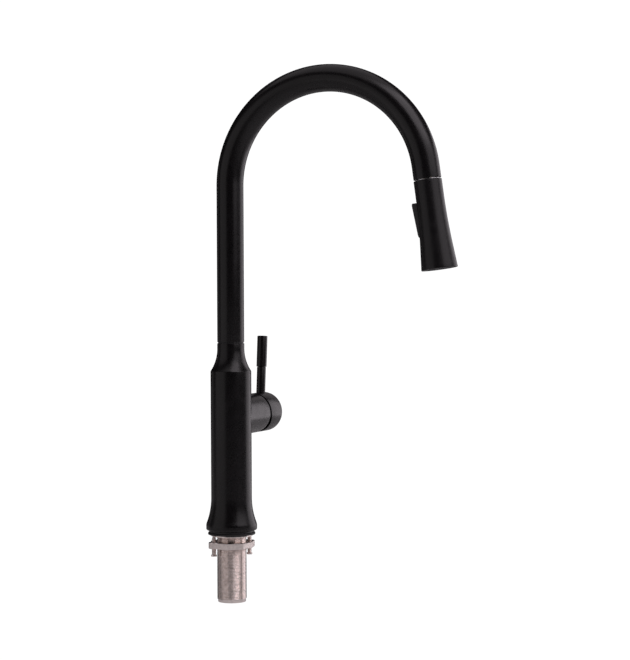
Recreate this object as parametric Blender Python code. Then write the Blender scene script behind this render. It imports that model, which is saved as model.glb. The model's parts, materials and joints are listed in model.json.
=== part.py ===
"""Pull-down kitchen faucet: gooseneck spout, docked spray head, side lever and deck clamp.

Frame: the origin is on the body's axis at the deck surface, which is the underside of the
base gasket. +Z is up, the spout points along -Y and the handle along +X.
Lengths are in millimetres here, and every mesh is built in metres through MM.
"""

import math

import bmesh
import bpy
from mathutils import Matrix, Vector

MM = 0.001
GAP = 0.3  # clearance between neighbouring pieces
WELD = 1e-4  # points closer than this are one point

# ---- driving dimensions ----------------------------------------------------------------

BODY_R = 21.2  # straight barrel of the body
NECK_R = 14.1  # top of the body, in line with the spout
TUBE_R = 14.0  # spout tube, outside
TUBE_WALL = 1.2
HOSE_R = 5.5
SHANK_R = 15.4
SHANK_BORE_R = 13.0

BODY_BOTTOM_Z = 4.5
NECK_TOP_Z = 198.6
RIM_Z = 169.8  # sharp shoulder under the neck flare
SHANK_BOTTOM_Z = -70.2

SPOUT_BOTTOM_Z = 199.9
BEND_START_Z = 361.9
BEND_R = 107.2  # centreline of the gooseneck
MOUTH_TILT = math.radians(7.9)  # the mouth leans outwards from straight down
MOUTH_STRAIGHT = 13.4  # straight stretch between the bend and the docking gap
DOCK_GAP = 1.3  # gap between the spout's end and the spray head

HEAD_LENGTH = 90.2  # docking gap to outlet
HEAD_TOP_R = 14.2
HEAD_WALL = 2.2

HUB_Z = 122.7  # axis of the mixing valve and handle
HUB_R = 20.9
HUB_END = 56.4  # end of the fixed sleeve, from the body's axis
PIVOT = 46.0  # the valve stem tilts about this point of the hub's axis
CAP_START = 59.9
CAP_END = 89.5
CAP_RELIEF = math.radians(17.0)  # lower half of the cap's rim, cut back so that it can tilt
ROD_AT = 77.1  # where the lever's axis crosses the hub's axis
ROD_R = 4.8
ROD_LEAN = math.radians(5.15)
ROD_TOP = 48.5  # the lever's heights are measured along it from the hub's axis
GRIP_R = 5.45
GRIP_TOP = 82.0

SCREW_CIRCLE_R = 20.0  # the two clamp screws, from the shank's axis
LUG_ANGLE = math.radians(-44.0)  # the nut's lugs, from +X

# ---- rounding ----------------------------------------------------------------------------

BODY_SIDES = 32
HEAD_SIDES = 28
TUBE_SIDES = 20
PART_SIDES = 20
SMALL_SIDES = 10
HOSE_SIDES = 8


# ---- materials ---------------------------------------------------------------------------

FINISHES = {
    "matte_black": ((0.018, 0.016, 0.018, 1.0), 0.42, 0.0),
    "black_plastic": ((0.012, 0.012, 0.013, 1.0), 0.5, 0.0),
    "grey_plastic": ((0.11, 0.11, 0.12, 1.0), 0.45, 0.0),
    "white_plastic": ((0.75, 0.75, 0.73, 1.0), 0.4, 0.0),
    "rubber": ((0.015, 0.015, 0.016, 1.0), 0.8, 0.0),
    "silicone": ((0.09, 0.09, 0.095, 1.0), 0.6, 0.0),
    "nickel": ((0.62, 0.56, 0.53, 1.0), 0.32, 1.0),
    "steel": ((0.6, 0.6, 0.61, 1.0), 0.28, 1.0),
    "brass": ((0.7, 0.5, 0.24, 1.0), 0.3, 1.0),
    "ceramic": ((0.86, 0.84, 0.8, 1.0), 0.25, 0.0),
    "braid": ((0.14, 0.14, 0.15, 1.0), 0.6, 0.0),
}


def finish(name):
    """Principled material of this name, made once."""
    found = bpy.data.materials.get(name)
    if found:
        return found
    colour, roughness, metallic = FINISHES[name]
    made = bpy.data.materials.new(name)
    made.use_nodes = True
    shader = made.node_tree.nodes["Principled BSDF"]
    shader.inputs["Base Color"].default_value = colour
    shader.inputs["Roughness"].default_value = roughness
    shader.inputs["Metallic"].default_value = metallic
    made.diffuse_color = colour
    return made


# ---- frames ------------------------------------------------------------------------------

UPRIGHT = Matrix()
# Along the hub: local +Z is the hub's axis (world +X), local +Y is world +Y, local +X is down.
HUB = Matrix.Translation((0.0, 0.0, HUB_Z)) @ Matrix.Rotation(math.pi / 2, 4, "Y")
HUB_UP = -1.0  # world up is local -X in the hub's frame


def mouth_point():
    """Middle of the docking gap."""
    end_y = -BEND_R * (1.0 + math.cos(MOUTH_TILT))
    end_z = BEND_START_Z + BEND_R * math.sin(MOUTH_TILT)
    return Vector((0.0, end_y, end_z)) + mouth_direction() * MOUTH_STRAIGHT


def mouth_direction():
    return Vector((0.0, -math.sin(MOUTH_TILT), -math.cos(MOUTH_TILT)))


# Along the spray head: local +Z runs from the docking gap to the outlet, local -Y faces the body.
HEAD = Matrix.Translation(mouth_point()) @ Matrix.Rotation(math.pi - MOUTH_TILT, 4, "X")
# Along the lever: local +Z runs up the lever from the hub's axis.
LEVER = Matrix.Translation((ROD_AT, 0.0, HUB_Z)) @ Matrix.Rotation(ROD_LEAN, 4, "Y")
# Along the nut's lugs: local +X points at one clamp screw.
LUGS = Matrix.Rotation(LUG_ANGLE, 4, "Z")


# ---- mesh helpers ------------------------------------------------------------------------


def metres(matrix):
    """The same placement with its position in metres."""
    placed = matrix.copy()
    placed.translation = matrix.translation * MM
    return placed


def add_object(name, bm, material, place=UPRIGHT, parent=None, sharp=30.0):
    """Turn a bmesh in millimetres into a named object in metres."""
    bmesh.ops.remove_doubles(bm, verts=bm.verts, dist=WELD)
    bmesh.ops.recalc_face_normals(bm, faces=bm.faces)
    bm.transform(Matrix.Scale(MM, 4))
    mesh = bpy.data.meshes.new(name)
    bm.to_mesh(mesh)
    bm.free()
    mesh.shade_smooth()
    mesh.set_sharp_from_angle(angle=math.radians(sharp))
    mesh.materials.append(finish(material))
    obj = bpy.data.objects.new(name, mesh)
    bpy.context.scene.collection.objects.link(obj)
    if parent:
        obj.parent = parent
        obj.matrix_parent_inverse = parent.matrix_world.inverted()
    obj.matrix_basis = metres(place)
    return obj


def add_joint_frame(name, place, parent=None):
    """Empty on a joint's axis; what moves with the joint is parented to it."""
    empty = bpy.data.objects.new(name, None)
    empty.empty_display_size = 0.02
    bpy.context.scene.collection.objects.link(empty)
    if parent:
        empty.parent = parent
        empty.matrix_parent_inverse = parent.matrix_world.inverted()
    empty.matrix_basis = metres(place)
    empty.matrix_world = metres(place)
    return empty


def turned_mesh(outline, sides):
    """Spin an outline of (radius, height) points about Z; it closes itself off the axis."""
    bm = bmesh.new()
    verts = [bm.verts.new((radius, 0.0, height)) for radius, height in outline]
    edges = [bm.edges.new(pair) for pair in zip(verts, verts[1:])]
    if outline[0][0] > 0.0:
        edges.append(bm.edges.new((verts[-1], verts[0])))
    turn = {"axis": (0, 0, 1), "cent": (0, 0, 0), "angle": 2 * math.pi}
    bmesh.ops.spin(bm, geom=verts + edges, steps=sides, use_merge=True, **turn)
    return bm


def turned(name, outline, material, place=UPRIGHT, parent=None, sides=PART_SIDES, sharp=30.0):
    return add_object(name, turned_mesh(outline, sides), material, place, parent, sharp)


def ring_outline(inner, outer, low, high, chamfer=0.0):
    """Section of a plain ring, with its two outer corners chamfered."""
    c = chamfer
    if c:
        rim = [(outer - c, low), (outer, low + c), (outer, high - c), (outer - c, high)]
    else:
        rim = [(outer, low), (outer, high)]
    return [(inner, low)] + rim + [(inner, high)]


def rod_outline(radius, low, high, chamfer=0.0):
    """Half section of a solid rod."""
    return ring_outline(0.0, radius, low, high, chamfer)


def oring_outline(centre_r, section_r, height, steps=6):
    turns = [2 * math.pi * step / steps for step in range(steps)]
    return [(centre_r + section_r * math.cos(turn), height + section_r * math.sin(turn)) for turn in turns]


def block_mesh(low, high):
    """Box between two corners."""
    bm = bmesh.new()
    bmesh.ops.create_cube(bm, size=1.0)
    size = [b - a for a, b in zip(low, high)]
    middle = [(a + b) / 2 for a, b in zip(low, high)]
    bm.transform(Matrix.Translation(middle) @ Matrix.Diagonal((*size, 1.0)))
    return bm


def prism_mesh(outline, low, high):
    """Extrude a flat outline of (x, y) points from low to high along Z."""
    bm = bmesh.new()
    base = bm.faces.new([bm.verts.new((x, y, low)) for x, y in outline])
    lifted = bmesh.ops.extrude_face_region(bm, geom=[base])["geom"]
    top = [item for item in lifted if isinstance(item, bmesh.types.BMVert)]
    bmesh.ops.translate(bm, verts=top, vec=(0.0, 0.0, high - low))
    return bm


def loft_mesh(loops, closed=False):
    """Skin a row of equal loops of points; open rows get flat ends."""
    bm = bmesh.new()
    rows = [[bm.verts.new(point) for point in loop] for loop in loops]
    pairs = list(zip(rows, rows[1:]))
    if closed:
        pairs.append((rows[-1], rows[0]))
    for here, there in pairs:
        for i in range(len(here)):
            j = (i + 1) % len(here)
            bm.faces.new((here[i], here[j], there[j], there[i]))
    if not closed:
        bm.faces.new(rows[0])
        bm.faces.new(rows[-1])
    return bm


def turned_tool(name, outline, place=UPRIGHT, sides=PART_SIDES):
    return as_tool(turned(name, outline, "black_plastic", place, sides=sides))


def block_tool(name, low, high, place=UPRIGHT):
    return as_tool(add_object(name, block_mesh(low, high), "black_plastic", place))


def as_tool(obj):
    """A tool only shapes other pieces: it isn't one of them."""
    obj.display_type = "WIRE"
    obj.hide_render = True
    return obj


def shape(target, tool, operation="DIFFERENCE"):
    """Cut the tool from the target, or join it on."""
    modifier = target.modifiers.new(tool.name, "BOOLEAN")
    modifier.operation = operation
    modifier.object = tool


# ---- body --------------------------------------------------------------------------------

NECK_FLARE_R = 42.6  # concave sweep from the neck out to the shoulder
NECK_FLARE_TOP_Z = 193.3
RIM_CHAMFER = 0.5
BELL_TOP_Z = 38.0
BELL_R = 72.6  # concave sweep of the foot
BELL_SWEEP = math.radians(20.7)
BELL_ROUND_R = 9.3  # convex turn back to vertical
FOOT_FILLET = 1.8

PASSAGE_R = 7.5  # the hose runs through the middle of the body
NECK_BORE_R = 12.3
NECK_BORE_Z = 152.0
CHAMBER_R = 15.7
CHAMBER_TOP_Z = 92.0
VALVE_BORE_R = 14.3
VALVE_FLOOR = 21.6
BONNET_BORE_R = 17.8
BONNET_BORE_START = 43.0
PORT_R = 1.8
INLET_Y = 4.8  # the valve's ports, across the hub and against the hub's axis in height
INLET_RISE = 3.2
OUTLET_RISE = -3.0
RISER_X = 9.0  # the passages up to the valve, from the body's axis
RISER_Y = 6.0
RISER_R = 2.4
SET_SCREW_Z = 160.0
SET_SCREW_R = 2.2

INLET_SIDES = (("hot", -1.0), ("cold", 1.0))


def arc_down(centre_r, centre_z, radius, start, end, steps):
    """Points (radius, height) of an arc between two angles, measured from the outward direction."""
    turns = [start + (end - start) * step / steps for step in range(steps + 1)]
    return [(centre_r + radius * math.cos(turn), centre_z + radius * math.sin(turn)) for turn in turns]


def body_outline():
    """Section of the body: down the outside from the neck to the foot, and back up its bores."""
    rim_r = BODY_R - RIM_CHAMFER
    sweep = math.acos(1.0 - (rim_r - NECK_R) / NECK_FLARE_R)
    outline = [(NECK_BORE_R, NECK_TOP_Z), (NECK_R, NECK_TOP_Z)]
    outline += arc_down(NECK_R + NECK_FLARE_R, NECK_FLARE_TOP_Z, NECK_FLARE_R, math.pi, math.pi + sweep, 6)
    outline.append((BODY_R, RIM_Z - RIM_CHAMFER))
    outline += arc_down(BODY_R + BELL_R, BELL_TOP_Z, BELL_R, math.pi, math.pi + BELL_SWEEP, 5)
    foot_r, foot_z = outline[-1]
    centre_r = foot_r - BELL_ROUND_R * math.cos(BELL_SWEEP)
    centre_z = foot_z - BELL_ROUND_R * math.sin(BELL_SWEEP)
    outline += arc_down(centre_r, centre_z, BELL_ROUND_R, BELL_SWEEP, 0.0, 2)[1:]
    corner_r = outline[-1][0] - FOOT_FILLET
    outline += arc_down(corner_r, BODY_BOTTOM_Z + FOOT_FILLET, FOOT_FILLET, 0.0, -math.pi / 2, 2)
    outline += [
        (CHAMBER_R, BODY_BOTTOM_Z),
        (CHAMBER_R, CHAMBER_TOP_Z),
        (PASSAGE_R, CHAMBER_TOP_Z + 4.0),
        (PASSAGE_R, NECK_BORE_Z),
        (NECK_BORE_R, NECK_BORE_Z),
    ]
    return outline


def sleeve_outline():
    """Half section of the side sleeve with its valve bore, which starts outside the barrel."""
    return [
        (0.0, 0.0),
        (HUB_R, 0.0),
        (HUB_R, HUB_END - 0.4),
        (HUB_R - 0.4, HUB_END),
        (BONNET_BORE_R, HUB_END),
        (BONNET_BORE_R, BONNET_BORE_START),
        (VALVE_BORE_R, BONNET_BORE_START),
        (VALVE_BORE_R, VALVE_FLOOR),
        (0.0, VALVE_FLOOR),
    ]


def valve_port(y, rise):
    """Frame along a port of the valve, given across the hub and in height against its axis."""
    return HUB @ Matrix.Translation((HUB_UP * rise, y, 0.0))


def riser_place(side):
    return Matrix.Translation((RISER_X, side * RISER_Y, 0.0))


def make_body():
    body = turned("faucet_body", body_outline(), "matte_black", sides=BODY_SIDES)
    shape(body, turned_tool("sleeve_tool", sleeve_outline(), HUB, BODY_SIDES), "UNION")
    # the sleeve's root would close the hose's passage: clear it again, a hair wider than it was
    passage = rod_outline(PASSAGE_R + 0.1, CHAMBER_TOP_Z + 6.0, NECK_BORE_Z - 4.0)
    shape(body, turned_tool("passage_tool", passage, sides=BODY_SIDES))

    overlap = 1.0
    for name, side in INLET_SIDES:
        across = rod_outline(PORT_R, RISER_X, VALVE_FLOOR + overlap)
        port = valve_port(side * INLET_Y, INLET_RISE)
        shape(body, turned_tool(f"{name}_port_tool", across, port, SMALL_SIDES))
        riser = rod_outline(RISER_R, CHAMBER_TOP_Z - overlap, HUB_Z + INLET_RISE)
        shape(body, turned_tool(f"{name}_riser_tool", riser, riser_place(side), SMALL_SIDES))

    back = Matrix.Translation((0.0, 0.0, SET_SCREW_Z)) @ Matrix.Rotation(-math.pi / 2, 4, "X")
    screw_hole = rod_outline(SET_SCREW_R + GAP, NECK_BORE_R - 1.0, BODY_R + 1.0)
    shape(body, turned_tool("set_screw_hole_tool", screw_hole, back, SMALL_SIDES))
    screw = rod_outline(SET_SCREW_R, STEM_GROOVE_R + 1.0, BODY_R - 0.8, 0.4)
    turned("spout_set_screw", screw, "steel", back, sides=SMALL_SIDES)


NIPPLE_R = 3.6
NIPPLE_BORE_R = 2.0
NIPPLE_LENGTH = 16.0
NIPPLE_NUT_R = 4.5
NIPPLE_NUT_HEIGHT = 5.0


def make_nipples():
    """Hose nipples under the valve: hot and cold."""
    top = CHAMBER_TOP_Z - GAP
    outline = [
        (NIPPLE_BORE_R, top),
        (NIPPLE_BORE_R, top - NIPPLE_LENGTH),
        (NIPPLE_R - 0.6, top - NIPPLE_LENGTH),
        (NIPPLE_R, top - NIPPLE_LENGTH + 2.0),
        (NIPPLE_R, top - NIPPLE_NUT_HEIGHT),
        (NIPPLE_NUT_R, top - NIPPLE_NUT_HEIGHT),
        (NIPPLE_NUT_R, top),
    ]
    for name, side in INLET_SIDES:
        turned(f"inlet_nipple_{name}", outline, "brass", riser_place(side), sides=SMALL_SIDES)


# ---- foot and deck clamp -----------------------------------------------------------------

SEAT_R = 16.0  # bores of the ring and gasket around the shank
BASE_RING_R = 23.6
BASE_RING_Z = 2.5
GASKET_R = 24.6
GASKET_TOP_Z = 2.2
GASKET_LIP_R = 22.2  # the lip that seals on the deck starts here, clear of the clamp washer
GASKET_LIP = 0.2
SHANK_TOP_Z = 30.0  # screwed into the body's foot
SHANK_CHAMFER = 0.9
WASHER_R = 21.6
WASHER_BOTTOM_Z = -1.6
NUT_TOP_Z = -7.4
NUT_BOTTOM_Z = -14.1
NUT_R = 22.4  # to its corners
NUT_CORNERS = 8
NUT_PHASE = math.radians(10.0)
LUG_R = 5.5
SCREW_R = 2.3
SCREW_HEAD_R = 3.0
SCREW_HEAD_Z = -20.4
SCREW_BOTTOM_Z = -22.3
SLOT_WIDTH = 0.9
SLOT_DEPTH = 1.1


def make_foot():
    ring = ring_outline(SEAT_R, BASE_RING_R, BASE_RING_Z, BODY_BOTTOM_Z - GAP)
    turned("base_ring", ring, "black_plastic", sides=BODY_SIDES)
    gasket = [
        (SEAT_R, GASKET_LIP),
        (GASKET_LIP_R, GASKET_LIP),
        (GASKET_LIP_R, 0.0),
        (GASKET_R - 0.4, 0.0),
        (GASKET_R, 0.4),
        (GASKET_R, GASKET_TOP_Z - 0.4),
        (GASKET_R - 0.6, GASKET_TOP_Z),
        (SEAT_R, GASKET_TOP_Z),
    ]
    turned("base_gasket", gasket, "rubber", sides=BODY_SIDES)
    shank = ring_outline(SHANK_BORE_R, SHANK_R, SHANK_BOTTOM_Z, SHANK_TOP_Z, SHANK_CHAMFER)
    turned("threaded_shank", shank, "nickel", sides=BODY_SIDES)


def make_clamp():
    washer_slide = add_joint_frame("clamp_slide", UPRIGHT)
    washer = ring_outline(SHANK_R + 0.4, WASHER_R, WASHER_BOTTOM_Z, -GAP, 0.2)
    turned("clamp_washer", washer, "nickel", parent=washer_slide, sides=BODY_SIDES)

    nut_turn = add_joint_frame("nut_turn", UPRIGHT, washer_slide)
    corners = [NUT_PHASE + 2 * math.pi * corner / NUT_CORNERS for corner in range(NUT_CORNERS)]
    octagon = [(NUT_R * math.cos(turn), NUT_R * math.sin(turn)) for turn in corners]
    nut = add_object("mounting_nut", prism_mesh(octagon, NUT_BOTTOM_Z, NUT_TOP_Z), "nickel", LUGS, nut_turn)
    steps = 6
    bar = []
    for side in (0.0, math.pi):
        for step in range(steps + 1):
            turn = side - math.pi / 2 + math.pi * step / steps
            centre = SCREW_CIRCLE_R * math.cos(side)
            bar.append((centre + LUG_R * math.cos(turn), LUG_R * math.sin(turn)))
    inset = 0.05  # keeps the bar's flats off the octagon's
    bar_mesh = prism_mesh(bar, NUT_BOTTOM_Z + inset, NUT_TOP_Z - inset)
    shape(nut, as_tool(add_object("lug_tool", bar_mesh, "nickel", LUGS)), "UNION")
    bore = rod_outline(SHANK_R + GAP, NUT_BOTTOM_Z - 2.0, NUT_TOP_Z + 2.0)
    shape(nut, turned_tool("nut_bore_tool", bore, sides=BODY_SIDES))

    for name, side in (("left", -1.0), ("right", 1.0)):
        at = LUGS @ Matrix.Translation((side * SCREW_CIRCLE_R, 0.0, 0.0))
        hole = rod_outline(SCREW_R + GAP, NUT_BOTTOM_Z - 2.0, NUT_TOP_Z + 2.0)
        shape(nut, turned_tool(f"{name}_lug_hole_tool", hole, at, SMALL_SIDES))
        tip = WASHER_BOTTOM_Z - GAP
        outline = [
            (0.0, SCREW_BOTTOM_Z),
            (SCREW_HEAD_R, SCREW_BOTTOM_Z),
            (SCREW_HEAD_R, SCREW_HEAD_Z),
            (SCREW_R, SCREW_HEAD_Z + 0.5),
            (SCREW_R, tip - 0.8),
            (SCREW_R - 0.8, tip),
            (0.0, tip),
        ]
        travel = add_joint_frame(f"clamp_screw_{name}_travel", at, nut_turn)
        screw = turned(f"clamp_screw_{name}", outline, "nickel", at, travel, SMALL_SIDES)
        reach = SCREW_HEAD_R + 1.0
        low = (-reach, -SLOT_WIDTH / 2, SCREW_BOTTOM_Z - 1.0)
        high = (reach, SLOT_WIDTH / 2, SCREW_BOTTOM_Z + SLOT_DEPTH)
        shape(screw, block_tool(f"{name}_slot_tool", low, high, at))


# ---- spout -------------------------------------------------------------------------------

STEM_R = 12.0
STEM_BORE_R = 8.0
STEM_BOTTOM_Z = 153.0
STEM_TOP_Z = 217.0
STEM_GROOVE_R = 10.3
ORING_GROOVE_R = 9.7
ORING_SECTION_R = 1.0
ORING_Z = (171.0, 187.0)
ORING_GROOVE_HALF = 1.4
COLLAR_LENGTH = 11.5
COLLAR_BORE_R = 8.9
MAGNET_LENGTH = 4.0
BEND_STEPS = 18
HOSE_START_Z = -68.2
HOSE_END = -17.0  # heights inside the mouth are measured from the docking gap, down positive
FERRULE_START = -12.0
FERRULE_R = 6.4


def spout_station(distance):
    """Centre and direction of the spout's centreline, a distance above the bend's start."""
    bend_length = BEND_R * (math.pi - MOUTH_TILT)
    if distance <= 0.0:
        return Vector((0.0, 0.0, BEND_START_Z + distance)), Vector((0.0, 0.0, 1.0))
    turn = min(distance, bend_length) / BEND_R
    centre = Vector((0.0, -BEND_R * (1.0 - math.cos(turn)), BEND_START_Z + BEND_R * math.sin(turn)))
    along = Vector((0.0, -math.sin(turn), math.cos(turn)))
    return centre + along * max(0.0, distance - bend_length), along


def station_ring(distance, radius, sides):
    centre, along = spout_station(distance)
    across = Vector((1.0, 0.0, 0.0))
    upward = along.cross(across)
    turns = [2 * math.pi * side / sides for side in range(sides)]
    return [centre + radius * (across * math.cos(turn) + upward * math.sin(turn)) for turn in turns]


def mouth_distance(depth):
    """Distance along the centreline of a point given by its depth from the docking gap."""
    return BEND_R * (math.pi - MOUTH_TILT) + MOUTH_STRAIGHT + depth


def bend_distances():
    length = BEND_R * (math.pi - MOUTH_TILT)
    return [length * step / BEND_STEPS for step in range(BEND_STEPS + 1)]


def make_spout():
    swivel = add_joint_frame("spout_swivel", Matrix.Translation((0.0, 0.0, NECK_TOP_Z)))
    bore_r = TUBE_R - TUBE_WALL
    distances = [SPOUT_BOTTOM_Z - BEND_START_Z] + bend_distances() + [mouth_distance(-DOCK_GAP / 2)]
    outside = [station_ring(distance, TUBE_R, TUBE_SIDES) for distance in distances]
    inside = [station_ring(distance, bore_r, TUBE_SIDES) for distance in reversed(distances)]
    add_object("spout_tube", loft_mesh(outside + inside, closed=True), "matte_black", parent=swivel)

    washer = ring_outline(NECK_BORE_R + GAP, TUBE_R - 0.7, NECK_TOP_Z + GAP, SPOUT_BOTTOM_Z - GAP)
    turned("swivel_ring", washer, "black_plastic", parent=swivel, sides=TUBE_SIDES)

    stem = [(STEM_BORE_R, STEM_BOTTOM_Z), (STEM_R, STEM_BOTTOM_Z)]
    half = ORING_GROOVE_HALF
    grooves = [(SET_SCREW_Z, SET_SCREW_R + 0.8, STEM_GROOVE_R)]
    grooves += [(z, half, ORING_GROOVE_R) for z in ORING_Z]
    for z, reach, floor_r in grooves:
        stem += [(STEM_R, z - reach), (floor_r, z - reach), (floor_r, z + reach), (STEM_R, z + reach)]
    upper_r = bore_r - GAP
    step_z = SPOUT_BOTTOM_Z + 0.6
    stem += [(STEM_R, step_z), (upper_r, step_z), (upper_r, STEM_TOP_Z), (STEM_BORE_R, STEM_TOP_Z)]
    turned("spout_stem", stem, "brass", parent=swivel, sides=TUBE_SIDES)
    for name, z in zip(("lower", "upper"), ORING_Z):
        section = oring_outline((ORING_GROOVE_R + NECK_BORE_R) / 2, ORING_SECTION_R, z)
        turned(f"stem_oring_{name}", section, "rubber", parent=swivel, sides=TUBE_SIDES)

    end = -DOCK_GAP / 2
    magnet = ring_outline(COLLAR_BORE_R, bore_r - GAP, end - MAGNET_LENGTH, end - GAP)
    turned("docking_magnet", magnet, "steel", HEAD, swivel)
    start = end - MAGNET_LENGTH - GAP
    collar = ring_outline(COLLAR_BORE_R, bore_r - GAP, start - COLLAR_LENGTH, start, 0.3)
    turned("docking_collar", collar, "white_plastic", HEAD, swivel)

    straight_steps = 15
    bottom = HOSE_START_Z - BEND_START_Z
    route = [bottom * (1.0 - step / straight_steps) for step in range(straight_steps)]
    route += bend_distances()[:-1] + [mouth_distance(HOSE_END)]
    hose = [station_ring(distance, HOSE_R, HOSE_SIDES) for distance in route]
    add_object("spray_hose", loft_mesh(hose), "braid", parent=swivel)
    pullout = rod_outline(HOSE_R, HOSE_END + GAP, FERRULE_START - GAP)
    turned("hose_pullout", pullout, "braid", HEAD, swivel, HOSE_SIDES)
    return swivel


# ---- spray head --------------------------------------------------------------------------

HEAD_FLARE_START = 15.0
HEAD_FLARE_END = 65.0
HEAD_FLARE_R = 603.0
HEAD_NECK_R = 8.2
HEAD_LID = 3.2
CONNECTOR_R = 7.4
CONNECTOR_START = -3.0
CONNECTOR_END = 9.0
FACE_RECESS = 0.6
WATERWAY_R = 8.2
WATERWAY_START = 9.3
WATERWAY_END = 75.6
WATERWAY_BORE_R = 4.6
WATERWAY_FLANGE_R = 12.5
AERATOR_R = 5.3
FACE_RING_WIDTH = 2.2
SPOOL_START = 50.0
SPOOL_LENGTH = 16.0
SPOOL_STEM_R = 2.2

ROCKER_PIN_U = 11.6  # the rocker's pin, outwards from the head's axis on the body's side
ROCKER_PIN_T = 39.3  # and down from the docking gap
ROCKER_TOP_T = 21.8
ROCKER_END_T = 56.8
ROCKER_TOP_U = 18.5
ROCKER_END_U = 15.9
ROCKER_INNER_U = 12.6
ROCKER_HALF = 7.2
WINDOW_HALF = 7.7
WINDOW_T = (20.9, 57.7)
WINDOW_DEPTH_U = 9.0
STEEL_RING_HALF = 0.35
PIN_R = 1.1
PIN_HOLE_R = 1.4
TONGUE_HALF = 4.4
EAR_INNER = 4.8
EAR_OUTER = 6.4


def head_radius(depth):
    """Outer radius of the spray head: a straight neck, a long flare, then a cone."""
    run = min(max(depth - HEAD_FLARE_START, 0.0), HEAD_FLARE_END - HEAD_FLARE_START)
    radius = HEAD_TOP_R + run * run / (2 * HEAD_FLARE_R)
    cone = max(depth - HEAD_FLARE_END, 0.0)
    return radius + cone * run / HEAD_FLARE_R


def head_shell_outline():
    top = DOCK_GAP / 2
    depths = [HEAD_FLARE_START] + [HEAD_FLARE_START + 10.0 * step for step in range(1, 6)]
    outside = [(HEAD_TOP_R - 0.4, top), (HEAD_TOP_R, top + 0.4)]
    outside += [(head_radius(depth), depth) for depth in depths]
    outlet_r = head_radius(HEAD_LENGTH)
    outside += [(outlet_r, HEAD_LENGTH - 0.6), (outlet_r - 0.6, HEAD_LENGTH)]
    inside = [(outlet_r - HEAD_WALL, HEAD_LENGTH)]
    inside += [(head_radius(depth) - HEAD_WALL, depth) for depth in reversed(depths)]
    inside += [(HEAD_TOP_R - HEAD_WALL, top + HEAD_LID), (HEAD_NECK_R, top + HEAD_LID)]
    return [(HEAD_NECK_R, top)] + outside + inside


def make_hose_end(swivel):
    """Ferrule and swivel connector on the end of the hose; they leave the spout with the head."""
    pull = add_joint_frame("head_pull_out", HEAD, swivel)
    ferrule = ring_outline(2.5, FERRULE_R, FERRULE_START, CONNECTOR_START - GAP, 0.4)
    turned("hose_ferrule", ferrule, "steel", HEAD, pull, SMALL_SIDES)
    connector = ring_outline(2.5, CONNECTOR_R, CONNECTOR_START, CONNECTOR_END, 0.5)
    turned("hose_connector", connector, "brass", HEAD, pull, PART_SIDES)
    return pull


def make_head(pull):
    turn = add_joint_frame("head_swivel", HEAD, pull)
    shell = turned("head_shell", head_shell_outline(), "matte_black", HEAD, turn, HEAD_SIDES)
    window_low = (-WINDOW_HALF, -30.0, WINDOW_T[0])
    window_high = (WINDOW_HALF, -WINDOW_DEPTH_U, WINDOW_T[1])
    shape(shell, block_tool("rocker_window_tool", window_low, window_high, HEAD))

    steel = ring_outline(HEAD_NECK_R + 1.0, HEAD_TOP_R - 0.9, -STEEL_RING_HALF, STEEL_RING_HALF)
    turned("docking_steel_ring", steel, "steel", HEAD, turn)

    waterway = [
        (WATERWAY_BORE_R, WATERWAY_START),
        (WATERWAY_R, WATERWAY_START),
        (WATERWAY_R, WATERWAY_END - 8.0),
        (WATERWAY_FLANGE_R, WATERWAY_END - 4.0),
        (WATERWAY_FLANGE_R, WATERWAY_END),
        (WATERWAY_BORE_R, WATERWAY_END),
    ]
    turned("head_waterway", waterway, "grey_plastic", HEAD, turn)
    valve = rod_outline(WATERWAY_BORE_R - GAP, WATERWAY_START + 1.0, WATERWAY_START + 12.0, 0.5)
    turned("check_valve", valve, "white_plastic", HEAD, turn, SMALL_SIDES)

    face_r = head_radius(HEAD_LENGTH) - HEAD_WALL - GAP
    ring_low = HEAD_LENGTH - 5.0
    ring_high = HEAD_LENGTH - FACE_RECESS
    ring = ring_outline(face_r - FACE_RING_WIDTH, face_r - 0.2, ring_low, ring_high)
    turned("face_ring", ring, "grey_plastic", HEAD, turn, HEAD_SIDES)
    plate_r = face_r - FACE_RING_WIDTH - GAP
    plate_low = ring_low - 1.0
    plate = ring_outline(AERATOR_R + GAP, plate_r, plate_low, ring_high - 0.8)
    turned("spray_face", plate, "black_plastic", HEAD, turn, HEAD_SIDES)
    mat = ring_outline(AERATOR_R + GAP, plate_r, plate_low - 2.0, plate_low - GAP)
    turned("nozzle_mat", mat, "silicone", HEAD, turn)
    aerator = ring_outline(1.5, AERATOR_R, ring_low - 4.0, ring_high - 0.6, 0.4)
    turned("aerator", aerator, "grey_plastic", HEAD, turn, SMALL_SIDES)
    make_rocker(turn)

    travel = add_joint_frame("diverter_travel", HEAD, turn)
    land_r = WATERWAY_BORE_R - GAP
    land_start = SPOOL_START + 7.0
    spool_end = SPOOL_START + SPOOL_LENGTH
    spool = [
        (0.0, SPOOL_START),
        (SPOOL_STEM_R, SPOOL_START),
        (SPOOL_STEM_R, land_start - 1.0),
        (land_r, land_start),
        (land_r, land_start + 3.0),
        (SPOOL_STEM_R, land_start + 4.0),
        (SPOOL_STEM_R, spool_end),
        (0.0, spool_end),
    ]
    turned("diverter_spool", spool, "white_plastic", HEAD, travel, SMALL_SIDES)


def head_block(half, near_u, far_u, low_t, high_t):
    """Corners of a block across the head, from near to far on the body's side, along its axis."""
    return (-half, -far_u, low_t), (half, -near_u, high_t)


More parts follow.
